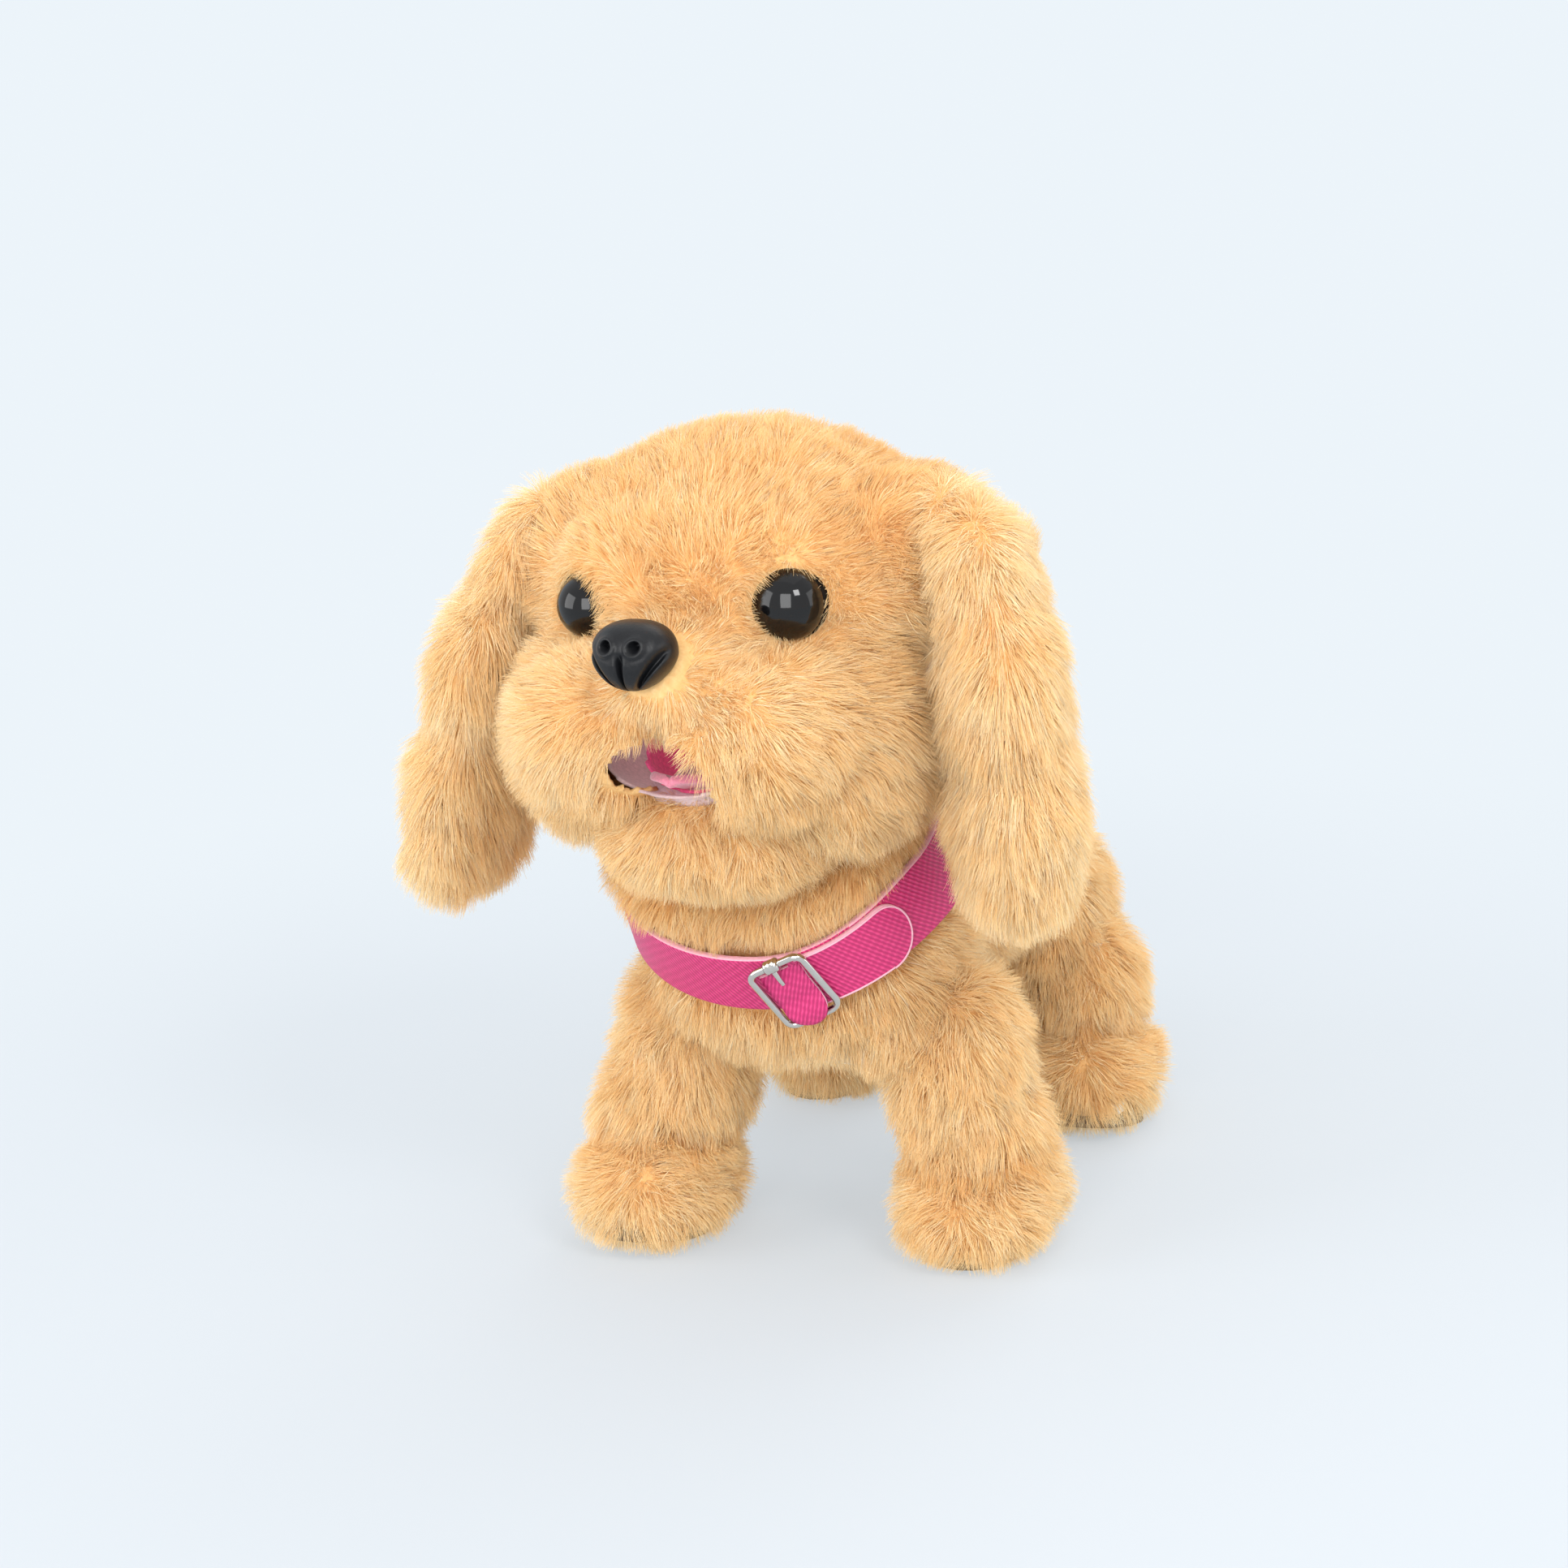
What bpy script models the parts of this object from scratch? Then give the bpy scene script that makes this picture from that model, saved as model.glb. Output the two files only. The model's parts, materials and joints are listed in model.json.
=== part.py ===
"""Walking plush puppy toy: plush covers over a plastic chassis with a crank drive.

Metres, +Z up. The puppy faces -Y, its left side is +X, and the soles stand on
z = 0. The origin is the bottom centre of the whole toy's box. All lengths below
are millimetres and are scaled once, where each object is made.
"""
import math

import bmesh
import bpy
from mathutils import Matrix, Vector

MM = 0.001

# Driving dimensions, millimetres and degrees
HIP_Z = 62.0            # height of both hip axles
HIP_Y = {"front": -37.0, "rear": 60.0}
STRIDE = 6.5            # each leg's lean at rest, as in mid-trot
LEAN = math.radians(STRIDE)
LEG_X = 38.5            # centre of a leg, from the mid-plane
ROD_ARM = 9.5           # side rod pin's distance from the hip
NECK = (-38.0, 118.0)   # y, z of the nod axis
JAW = (-60.0, 120.0)    # y, z of the jaw axis
TAIL = (0.0, 74.0)      # x, y of the tail's upright pin
PIN_R = 1.5             # hip axles and the neck, jaw and tail pins
RUN_GAP = 0.3           # radial play of a pin or shaft in its bore
PIN_BORE_R = PIN_R + RUN_GAP
SPLIT_GAP = 0.15        # from a split plane to a shell's edge
PILE = 6.5              # thickness of a plush cover: cloth and pile
SIDES = (("left", 1), ("right", -1))

# Grids of soft forms: segments round, rings
COARSE, MEDIUM, FINE = (14, 9), (16, 10), (24, 14)

# Materials
FUR = dict(colour=(0.82, 0.55, 0.25), roughness=0.95)
SHELL = dict(colour=(0.75, 0.72, 0.66), roughness=0.5)
DARK = dict(colour=(0.05, 0.05, 0.055), roughness=0.5)
GLOSS = dict(colour=(0.01, 0.01, 0.012), roughness=0.06)
STEEL = dict(colour=(0.6, 0.6, 0.6), roughness=0.3, metallic=1.0)
NICKEL = dict(colour=(0.78, 0.77, 0.74), roughness=0.18, metallic=1.0)
GEAR = dict(colour=(0.9, 0.9, 0.88), roughness=0.45)
PINK = dict(colour=(0.62, 0.04, 0.22), roughness=0.5)
TONGUE = dict(colour=(0.75, 0.35, 0.4), roughness=0.9)
LINING = dict(colour=(0.25, 0.08, 0.1), roughness=0.9)
RUBBER = dict(colour=(0.03, 0.03, 0.03), roughness=0.8)
CELL = dict(colour=(0.2, 0.25, 0.3), roughness=0.35)
BOARD = dict(colour=(0.03, 0.2, 0.08), roughness=0.5)

for old in list(bpy.data.objects):
    bpy.data.objects.remove(old, do_unlink=True)

toy = bpy.data.collections.new("walking_puppy_toy")
tools = bpy.data.collections.new("cutters")
tools.hide_render = True
bpy.context.scene.collection.children.link(toy)
bpy.context.scene.collection.children.link(tools)


# ------------------------------------------------------------------ objects
def finish(name, colour, roughness, metallic=0.0):
    material = bpy.data.materials.new(name)
    material.use_nodes = True
    material.diffuse_color = (*colour, 1)
    shader = material.node_tree.nodes["Principled BSDF"]
    shader.inputs["Base Color"].default_value = (*colour, 1)
    shader.inputs["Roughness"].default_value = roughness
    shader.inputs["Metallic"].default_value = metallic
    return material


def solid(name, form, look=None, at=(0, 0, 0), turn=0.0, local=False):
    """An object from a bmesh, at its origin and turned about X. Without a look it is a tool.

    form holds world millimetres, or with local the piece's own, before its turn.
    """
    bmesh.ops.recalc_face_normals(form, faces=form.faces)
    if not local:
        shift(form, -Vector(at))
    scale(form, (MM, MM, MM))
    mesh = bpy.data.meshes.new(name)
    form.to_mesh(mesh)
    form.free()
    mesh.shade_smooth()
    mesh.set_sharp_from_angle(angle=math.radians(35))
    obj = bpy.data.objects.new(name, mesh)
    obj.location = Vector(at) * MM
    obj.rotation_euler = (math.radians(turn), 0, 0)
    if look:
        toy.objects.link(obj)
        mesh.materials.append(finish(name, **look))
    else:
        tools.objects.link(obj)
        obj.hide_render = True
        obj.display_type = "WIRE"
    return obj


def work(obj, operation, others):
    # The plush covers meet along many curved seams, where only the manifold solver stays closed.
    soft = any(word in obj.name for word in ("fur", "groove"))
    for other in others:
        step = obj.modifiers.new(f"{operation.lower()} {other.name}", "BOOLEAN")
        step.operation = operation
        step.object = other
        step.solver = "MANIFOLD" if soft else "EXACT"


def cut(obj, *others):
    work(obj, "DIFFERENCE", others)


def join(obj, *others):
    work(obj, "UNION", others)


def turned(name, profile, look, at, turn=0.0, steps=16):
    """(radius, height) points spun round the object's Z, then turned about X."""
    mesh = bpy.data.meshes.new(name)
    edges = [(i, i + 1) for i in range(len(profile) - 1)]
    mesh.from_pydata([(radius * MM, 0, z * MM) for radius, z in profile], edges, [])
    obj = bpy.data.objects.new(name, mesh)
    obj.location = Vector(at) * MM
    obj.rotation_euler = (math.radians(turn), 0, 0)
    toy.objects.link(obj)
    mesh.materials.append(finish(name, **look))
    spin = obj.modifiers.new("spin", "SCREW")
    spin.angle = 2 * math.pi
    spin.steps = spin.render_steps = steps
    spin.use_merge_vertices = True
    spin.merge_threshold = 0.00001
    spin.use_smooth_shade = True


# ------------------------------------------------------------------ forms
def scale(form, factors):
    bmesh.ops.scale(form, verts=form.verts, vec=factors)


def shift(form, offset):
    bmesh.ops.translate(form, verts=form.verts, vec=offset)


def transform(form, matrix):
    bmesh.ops.transform(form, matrix=matrix, verts=form.verts)


def tipped(form, place, angle):
    """form turned about X by angle, then moved to place."""
    transform(form, Matrix.Translation(place) @ Matrix.Rotation(angle, 4, "X"))
    return form


def box(low, high, side=1):
    """A box between two corners; side -1 mirrors it in x = 0."""
    form = bmesh.new()
    bmesh.ops.create_cube(form, size=1.0)
    low, high = Vector(low), Vector(high)
    if side < 0:
        low.x, high.x = -high.x, -low.x
    scale(form, high - low)
    shift(form, (high + low) / 2)
    return form


def box_pair(left, right, low, high, at=(0, 0, 0)):
    """Two box tools: one with the given corners, and its mirror image."""
    return [solid(left, box(low, high), at=at), solid(right, box(low, high, side=-1), at=at)]


def rod(start, end, radius, sides=16):
    start, end = Vector(start), Vector(end)
    form = bmesh.new()
    bmesh.ops.create_cone(form, cap_ends=True, segments=sides, radius1=radius, radius2=radius,
                          depth=(end - start).length)
    turn = (end - start).to_track_quat("Z", "Y").to_matrix().to_4x4()
    transform(form, Matrix.Translation((start + end) / 2) @ turn)
    return form


def across(y, z, start, end, radius, sides=16):
    """A rod along X, its ends in either order."""
    start, end = sorted((start, end))
    return rod((start, y, z), (end, y, z), radius, sides)


def lengthways(x, z, start, end, radius):
    """A rod along Y."""
    return rod((x, start, z), (x, end, z), radius)


def upright(x, y, start, end, radius, sides=16):
    """A rod along Z."""
    return rod((x, y, start), (x, y, end), radius, sides)


def oval(radii, low, high, sides, centre=(0, 0), caps=True):
    """An upright elliptic cylinder."""
    form = bmesh.new()
    bmesh.ops.create_cone(form, cap_ends=caps, segments=sides, radius1=1, radius2=1,
                          depth=high - low)
    scale(form, (*radii, 1))
    shift(form, (*centre, (low + high) / 2))
    return form


def blob(centre, radii, power=2.0, tilt=0.0, grid=MEDIUM):
    """A superellipsoid: a UV sphere's points moved out along their rays. tilt is about Y."""
    form = bmesh.new()
    bmesh.ops.create_uvsphere(form, u_segments=grid[0], v_segments=grid[1], radius=1.0)
    for vert in form.verts:
        size = sum(abs(c) ** power for c in vert.co) ** (-1 / power)
        vert.co = Vector([c * size * radius for c, radius in zip(vert.co, radii)])
    transform(form, Matrix.Translation(centre) @ Matrix.Rotation(math.radians(tilt), 4, "Y"))
    return form


def blob_set(prefix, shapes, shrink=0):
    """Tools for (centre, radii, power) shapes, each shrunk by a thickness."""
    return [solid(f"{prefix}_{i}", blob(centre, [radius - shrink for radius in radii], power))
            for i, (centre, radii, power) in enumerate(shapes)]


def plate(outline, start, end, *holes):
    """A flat outline in (y, z), with holes, extruded along X."""
    start, end = sorted((start, end))
    curve = bpy.data.curves.new("outline", "CURVE")
    curve.dimensions = "2D"
    curve.fill_mode = "BOTH"
    curve.extrude = (end - start) / 2
    for loop in (outline, *holes):
        spline = curve.splines.new("POLY")
        spline.points.add(len(loop) - 1)
        spline.use_cyclic_u = True
        for point, (y, z) in zip(spline.points, loop):
            point.co = (y, z, 0, 1)
    guide = bpy.data.objects.new("outline", curve)
    tools.objects.link(guide)
    bpy.context.view_layer.update()
    depsgraph = bpy.context.evaluated_depsgraph_get()
    mesh = bpy.data.meshes.new_from_object(guide.evaluated_get(depsgraph))
    bpy.data.objects.remove(guide, do_unlink=True)
    form = bmesh.new()
    form.from_mesh(mesh)
    bpy.data.meshes.remove(mesh)
    bmesh.ops.remove_doubles(form, verts=form.verts, dist=0.001)
    for vert in form.verts:
        y, z, x = vert.co
        vert.co = (x + (start + end) / 2, y, z)
    return form


# ------------------------------------------------------------------ casing
CASE_X = 18.5           # half width of the casing
CASE_WALL = 1.6
SPLIT_Z = HIP_Z         # where the casing's halves meet
LOWER_EDGE = SPLIT_Z - SPLIT_GAP
UPPER_EDGE = SPLIT_Z + SPLIT_GAP
CRANK = (HIP_Y["front"], 81.0)      # y, z of the crank shaft
CRANK_SHAFT_R = 2.0
CRANK_BORE_R = CRANK_SHAFT_R + RUN_GAP

# Screws, (x, y)
FRONT_SCREW = (0, -44.8)
REAR_SCREW = (11, 55.3)
DOOR_SCREW = (-8, 55.3)

# Outlines in (y, z); the hollows run past the split
LOWER_OUTLINE = [(-50, 50), (-47, 47), (56, 47), (66, 57), (66, LOWER_EDGE), (-50, LOWER_EDGE)]
LOWER_HOLLOW = [(-48.4, 50.6), (-46.4, 48.6), (55.4, 48.6), (64.4, 57.6), (64.4, 70), (-48.4, 70)]
UPPER_OUTLINE = [(-50, UPPER_EDGE), (66, UPPER_EDGE), (66, 90), (59, 97), (-44, 97), (-50, 91)]
UPPER_HOLLOW = [(-48.4, 55), (64.4, 55), (64.4, 89.4), (58.4, 95.4), (-43.4, 95.4), (-48.4, 90.4)]


def casing_half(name, half, outline, hollow):
    shell = solid(name, plate(outline, -CASE_X, CASE_X), SHELL)
    inner_x = CASE_X - CASE_WALL
    cut(shell, solid(f"{half}_hollow", plate(hollow, -inner_x, inner_x)))
    return shell


def axle_ways(half):
    return [solid(f"axle_way_{end}_{half}", across(y, HIP_Z, -30, 30, 1.85))
            for end, y in HIP_Y.items()]


lower = casing_half("chassis_lower_shell", "lower", LOWER_OUTLINE, LOWER_HOLLOW)
join(lower, solid("boss_low_front", upright(*FRONT_SCREW, 48, LOWER_EDGE, 3.0)),
     solid("boss_low_rear", upright(*REAR_SCREW, 48, LOWER_EDGE, 2.9)),
     solid("boss_low_door", upright(*DOOR_SCREW, 48, 56, 2.7)))
cut(lower, solid("cell_opening", box((-14, 0, 40), (14, 51.2, 49.2))),
    solid("switch_slot", box((8, -26, 40), (14, -13.9, 49.2))),
    solid("bore_low_front", upright(*FRONT_SCREW, 40, 70, 1.4)),
    solid("bore_low_rear", upright(*REAR_SCREW, 40, 70, 1.4)),
    solid("bore_low_door", upright(*DOOR_SCREW, 40, 54.6, 1.2)),
    solid("sink_low_front", upright(*FRONT_SCREW, 40, 49.0, 2.6)),
    solid("sink_low_rear", upright(*REAR_SCREW, 40, 49.0, 2.6)),
    *axle_ways("low"))

upper = casing_half("chassis_upper_shell", "upper", UPPER_OUTLINE, UPPER_HOLLOW)
join(upper, solid("boss_top_front", upright(*FRONT_SCREW, UPPER_EDGE, 72, 3.0)),
     solid("boss_top_front_rib", box((-1.5, -49.2, 64), (1.5, -45.5, 72))),
     solid("boss_top_rear", upright(*REAR_SCREW, UPPER_EDGE, 72, 2.9)),
     solid("boss_top_rear_rib", box((11, 54.5, 64), (17.7, 56, 72))),
     solid("neck_post", box((-6, -43, 96), (6, -33, 122))),
     solid("tail_web", box((-4, 60.5, 91), (4, 68.5, 103.4))),
     solid("tail_lug_low", box((-4, 65.5, 91), (4, 78.5, 93.4))),
     solid("tail_lug_high", box((-4, 65.5, 101), (4, 76.8, 103.4))))
cut(upper, solid("bore_top_front", upright(*FRONT_SCREW, 55, 70.5, 1.4)),
    solid("bore_top_rear", upright(*REAR_SCREW, 55, 70.5, 1.4)),
    solid("neck_bore", across(*NECK, -12, 12, PIN_BORE_R)),
    solid("tail_bore", upright(*TAIL, 85, 110, PIN_BORE_R)),
    solid("crank_bearings", across(*CRANK, -30, 30, CRANK_BORE_R)),
    *[solid(f"sound_holes{suffix}", box((-9, y, 94), (9, y + 3, 99)))
      for suffix, y in (("", 24), ("_two", 30), ("_three", 36))],
    *axle_ways("top"))

door = solid("battery_door", box((-15.5, -3, 45.3), (15.5, 59, 46.7)), DARK, at=(0, 28, 46))
cut(door, solid("door_bore", upright(*DOOR_SCREW, 40, 50, 1.3)))

# Screws: name, (x, y), height of the head's upper face, shank radius and length
for name, spot, z, radius, length in (
        ("battery_door_screw", DOOR_SCREW, 45.0, 0.9, 9.0),
        ("casing_screw_front", FRONT_SCREW, 48.6, 1.1, 21.0),
        ("casing_screw_rear", REAR_SCREW, 48.6, 1.1, 21.0)):
    profile = [(0, length), (radius, length - 1), (radius, 0),
               (2.3, 0), (2.3, -1.0), (1.5, -1.5), (0, -1.5)]
    turned(name, profile, STEEL, (*spot, z), steps=12)

# The cells lie along Y, in opposite directions. Their profile is (radius, height).
CELL_PROFILE = [(0, 25.25), (2.7, 25.25), (2.7, 24.2), (6.6, 24.2),
                (7.25, 23.6), (7.25, -24.6), (6.6, -25.25), (0, -25.25)]
for name, side in SIDES:
    turned(f"battery_{name}", CELL_PROFILE, CELL, (7.6 * side, 25.8, 56.35), turn=-90 * side)
for end, y in (("front", -0.9), ("rear", 51.7)):
    strip = box((-14.5, y - 0.2, 50), (14.5, y + 0.2, 63))
    solid(f"battery_contact_{end}", strip, STEEL, at=(0, y, 56))
solid("power_switch_slider", box((8.8, -25.2, 45.4), (13.2, -18.7, 49.6)), DARK, at=(11, -22, 47))

# ------------------------------------------------------------------ drive
CRANK_R = 3.0
MODULE = 0.6
PINION_TEETH, SMALL_TEETH, LARGE_TEETH = 9, 12, 36
MOTOR_DROP = math.radians(20)       # the motor lies this far below level, behind the idler
FAST_X = (10.2, 13.4)               # the pinion and the idler's large gear
IDLER_AXLE_R = 1.0
IDLER_BORE_R = IDLER_AXLE_R + RUN_GAP

# Shaft places, (y, z), from the gears' pitch radii
IDLER = (CRANK[0] + MODULE * (SMALL_TEETH + LARGE_TEETH) / 2, CRANK[1])
MOTOR_REACH = MODULE * (PINION_TEETH + LARGE_TEETH) / 2
MOTOR = (IDLER[0] + MOTOR_REACH * math.cos(MOTOR_DROP),
         IDLER[1] - MOTOR_REACH * math.sin(MOTOR_DROP))

# One tooth: share of a tooth step from its middle, height over the pitch circle
TOOTH = ((-0.23, -0.75), (-0.11, 0.4), (0.11, 0.4), (0.23, -0.75))


def gear(count, centre, phase, start, end):
    """A spur gear with generous backlash. phase is a tooth's direction."""
    pitch_radius = MODULE * count / 2
    step = 2 * math.pi / count
    points = []
    for i in range(count):
        for away, height in TOOTH:
            angle = phase + (i + away) * step
            radius = pitch_radius + height
            points.append((centre[0] + radius * math.cos(angle),
                           centre[1] + radius * math.sin(angle)))
    return plate(points, start, end)


motor = solid("motor", across(*MOTOR, -16, 9, 10.0, 24), STEEL)
flats = box((-20, MOTOR[0] - 7.5, MOTOR[1] - 12), (12, MOTOR[0] + 7.5, MOTOR[1] + 12))
work(motor, "INTERSECT", [solid("motor_flats", flats)])
cut(motor, solid("motor_mouth", across(*MOTOR, 4, 12, 1.4)))

# Each driving gear shows its partner a gap, half a tooth step from a tooth.
pinion_phase = math.pi - MOTOR_DROP + math.pi / PINION_TEETH
pinion = solid("motor_pinion", gear(PINION_TEETH, MOTOR, pinion_phase, *FAST_X),
               GEAR, at=(11.8, *MOTOR))
join(pinion, solid("motor_shaft", across(*MOTOR, 5, 13.9, 1.0)))

idler = solid("idler_gear", gear(LARGE_TEETH, IDLER, -MOTOR_DROP, *FAST_X), GEAR, at=(10, *IDLER))
small_phase = math.pi + math.pi / SMALL_TEETH
join(idler, solid("idler_small", gear(SMALL_TEETH, IDLER, small_phase, 6.2, 10.6)))
cut(idler, solid("idler_bore", across(*IDLER, 0, 20, IDLER_BORE_R)))
solid("idler_axle", across(*IDLER, 2.6, 16.2, IDLER_AXLE_R), STEEL, at=(9, *IDLER))

drive = solid("drive_gear", gear(LARGE_TEETH, CRANK, 0.0, 6.2, 9.6), GEAR, at=(8, *CRANK))
cut(drive, solid("drive_bore", across(*CRANK, 0, 20, CRANK_BORE_R)))
solid("crank_shaft", across(*CRANK, -21, 21, CRANK_SHAFT_R), STEEL, at=(0, *CRANK))

# The crank's angle from upright follows from the legs' lean.
crank_phase = math.asin((CRANK[1] - HIP_Z) * math.tan(LEAN) / CRANK_R)
for side_name, side in SIDES:
    name = f"crank_{side_name}"
    disc = solid(name, across(*CRANK, 19.3 * side, 21.5 * side, 6.5, 24),
                 GEAR, at=(20 * side, *CRANK))
    pin_y = CRANK[0] - side * CRANK_R * math.sin(crank_phase)
    pin_z = CRANK[1] + side * CRANK_R * math.cos(crank_phase)
    join(disc, solid(f"{name}_pin", across(pin_y, pin_z, 20.4 * side, 25.0 * side, 1.0)))
    cut(disc, solid(f"{name}_bore", across(*CRANK, 15 * side, 22 * side, CRANK_BORE_R)))

gearbox = solid("gearbox_frame", box((3.5, -47.6, 64.2), (4.9, -18.3, 90.0)), SHELL)
join(gearbox, solid("gearbox_far", box((14.2, -47.6, 64.2), (15.6, -4, 90.0))),
     solid("gearbox_base", box((3.6, -47.6, 64.2), (15.4, -18.3, 65.6))))
cut(gearbox, solid("gearbox_crank_bore", across(*CRANK, 0, 18, CRANK_BORE_R)),
    solid("gearbox_idler_bore", across(*IDLER, 0, 18, IDLER_BORE_R)))

# (radius, height)
SPEAKER_PROFILE = [(0, 83), (8, 83), (8, 79), (14, 77.5), (14, 76), (12.5, 76), (3, 78), (0, 78)]
turned("speaker", SPEAKER_PROFILE, DARK, (0, 31, 0))
board = solid("circuit_board", box((-15, 2, 70), (15, 50, 71.4)), BOARD, at=(0, 26, 70))
join(board, solid("board_chip", box((-5, 8, 71), (5, 15, 73))),
     solid("board_part", upright(8, 20, 71, 74.5, 2.4)))
for end, y in HIP_Y.items():
    solid(f"{end}_hip_axle", across(y, HIP_Z, -25.0, 25.0, PIN_R), STEEL, at=(0, y, HIP_Z))

# ------------------------------------------------------------------ legs
# A leg is drawn upright, in (y, z) from its hip.
FRONT_ARM = [(-7, -18.5), (7, -18.5), (7, 4), (10.2, 12),
             (10.2, 26.4), (-10.2, 26.4), (-10.2, 12), (-7, 4)]
FRONT_WINDOW = [(-7.6, 14.2), (7.6, 14.2), (7.6, 23.8), (-7.6, 23.8)]   # round the crank pin
REAR_ARM = [(-7, -18.5), (7, -18.5), (7, -4), (4.5, 5), (-4.5, 5), (-7, -4)]
ARM_X = (22.2, 24.6)
ROD_X = (25.2, 27.2)
SOLE_FRONT, SOLE_REAR, SOLE_TOP = -19.5, 14, -57.4
SOLE_RADII = (12, 16)
SOLE_GAP = 0.7          # round the sole, in the fur


def leg(end, side_name, side):
    name = f"{end}_{side_name}"
    # Diagonal legs lean together.
    ahead = 1 if end == "front" else -1
    place = dict(at=(0, HIP_Y[end], HIP_Z), turn=STRIDE * side * ahead, local=True)
    centre_x = LEG_X * side

    def tool(stem, form):
        return solid(f"{stem}_{name}", form, **place)

    outline, holes = (FRONT_ARM, [FRONT_WINDOW]) if end == "front" else (REAR_ARM, [])
    arm_form = plate(outline, ARM_X[0] * side, ARM_X[1] * side, *holes)
    arm = solid(f"leg_arm_{name}", arm_form, SHELL, **place)
    join(arm, tool("leg_boss", across(0, 0, 19.0 * side, 23.4 * side, 4.0)),
         tool("leg_pin", across(0, ROD_ARM * ahead, 23.4 * side, 27.8 * side, 1.2)),
         tool("leg_web", box((23, -7, -18.5), (40, 7, -16), side)),
         tool("leg_strut", box((36, -6.5, -55.5), (41, 6.5, -16.2), side)),
         tool("leg_foot", box((28, -15, -57), (49, 11, -54.5), side)))
    cut(arm, tool("leg_bore", across(0, 0, 15 * side, 30 * side, PIN_BORE_R)))

    # The sole's underside is level at either end of the stride.
    slope = math.tan(LEAN)
    floor = -HIP_Z / math.cos(LEAN)
    rocker = [(SOLE_FRONT, SOLE_TOP), (SOLE_FRONT, floor - SOLE_FRONT * slope), (0, floor),
              (SOLE_REAR, floor + SOLE_REAR * slope), (SOLE_REAR, SOLE_TOP)]
    sole_form = plate(rocker, 27 * side, 50 * side)
    sole = solid(f"foot_sole_{name}", sole_form, RUBBER, **place)
    sole_oval = oval(SOLE_RADII, -70, -50, 20, centre=(centre_x, -3))
    work(sole, "INTERSECT", [tool("sole_oval", sole_oval)])

    radii = (18, 18, 28) if end == "front" else (17, 21, 28)
    fur_form = blob((centre_x, -ahead, -32), radii, 2.6, grid=COARSE)
    fur = solid(f"leg_fur_{name}", fur_form, FUR, **place)
    well_radii = [radius + SOLE_GAP for radius in SOLE_RADII]
    join(fur, tool("paw", blob((centre_x, -4, -48.5), (20, 21, 13), 2.5, grid=COARSE)))
    cut(fur, tool("fur_top", box((10, -40, -19.3), (70, 40, 10), side)),
        tool("fur_way", upright(centre_x, 0, -52, -10, 11.0, 20)),
        tool("fur_foot", box((27.6, -15.5, -57.3), (49.4, 11.5, -50), side)),
        tool("fur_sole", oval(well_radii, -70, -50, 20, centre=(centre_x, -3))))


def side_rod(side_name, side):
    """The bar from a front leg's pin, above the hip, to the rear leg's, below it."""
    name = f"side_rod_{side_name}"
    back = -side * ROD_ARM * math.sin(LEAN)
    rise = ROD_ARM * math.cos(LEAN)
    front = (HIP_Y["front"] + back, HIP_Z + rise)
    rear = (HIP_Y["rear"] + back, HIP_Z - rise)
    tilt = math.atan2(rear[1] - front[1], rear[0] - front[0])
    half_y, half_z = -math.sin(tilt) * 2.2, math.cos(tilt) * 2.2
    bar = [(front[0] - half_y, front[1] - half_z), (rear[0] - half_y, rear[1] - half_z),
           (rear[0] + half_y, rear[1] + half_z), (front[0] + half_y, front[1] + half_z)]
    low, high = sorted(x * side for x in ROD_X)
    link = solid(name, plate(bar, low, high), GEAR, at=(0, *front))
    join(link, solid(f"{name}_front_eye", across(*front, low, high, 3.4)),
         solid(f"{name}_rear_eye", across(*rear, low, high, 3.4)))
    cut(link, solid(f"{name}_front_bore", across(*front, low - 2, high + 2, 1.55)),
        solid(f"{name}_rear_bore", across(*rear, low - 2, high + 2, 1.9)))


for end in HIP_Y:
    for side_name, side in SIDES:
        leg(end, side_name, side)
for side_name, side in SIDES:
    side_rod(side_name, side)

# ------------------------------------------------------------------ body cover and collar
COLLAR_A, COLLAR_B = 40.0, 38.0     # half width across X, and fore and aft
COLLAR_W = 15.0
COLLAR_TILT = 26.0
COLLAR_AT = (0.0, -42.0, 97.5)
COLLAR_PLACE = dict(at=COLLAR_AT, turn=COLLAR_TILT, local=True)
BUCKLE_AT = math.radians(18)        # round the collar from its front, towards +X
BUCKLE_TURN = math.radians(20)
BUCKLE_HALF_L, BUCKLE_HALF_W, BUCKLE_CORNER_R = 6.6, 8.8, 2.0

# The buckle's centre and directions, first in the collar's own frame
spot = Vector((COLLAR_A * math.sin(BUCKLE_AT), -COLLAR_B * math.cos(BUCKLE_AT),
               -COLLAR_W / 2 - 0.5))
outward = Vector((math.sin(BUCKLE_AT) / COLLAR_A, -math.cos(BUCKLE_AT) / COLLAR_B, 0))
outward.normalize()
along = Vector((-outward.y, outward.x, 0))
collar_turn = Matrix.Rotation(math.radians(COLLAR_TILT), 3, "X")
outward_world = collar_turn @ outward
along_world = collar_turn @ along
up_world = collar_turn @ Vector((0, 0, 1))
buckle_along = along_world * math.cos(BUCKLE_TURN) + up_world * math.sin(BUCKLE_TURN)
buckle_up = up_world * math.cos(BUCKLE_TURN) - along_world * math.sin(BUCKLE_TURN)
buckle_at = Vector(COLLAR_AT) + collar_turn @ spot + outward_world * 2.9

# Soft forms: centre, radii, power
TORSO = [((0, 26, 80), (42, 64, 39), 2.4),
         ((0, -34, 72), (42.5, 39, 37), 2.2),
         ((33, -40, 62), (15, 20, 22), 2.2),
         ((-33, -40, 62), (15, 20, 22), 2.2),
         ((31, 56, 66), (16, 26, 30), 2.2),
         ((-31, 56, 66), (16, 26, 30), 2.2),
         ((0, -42, 90), (37.5, 33, 24), 2.6)]

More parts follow.
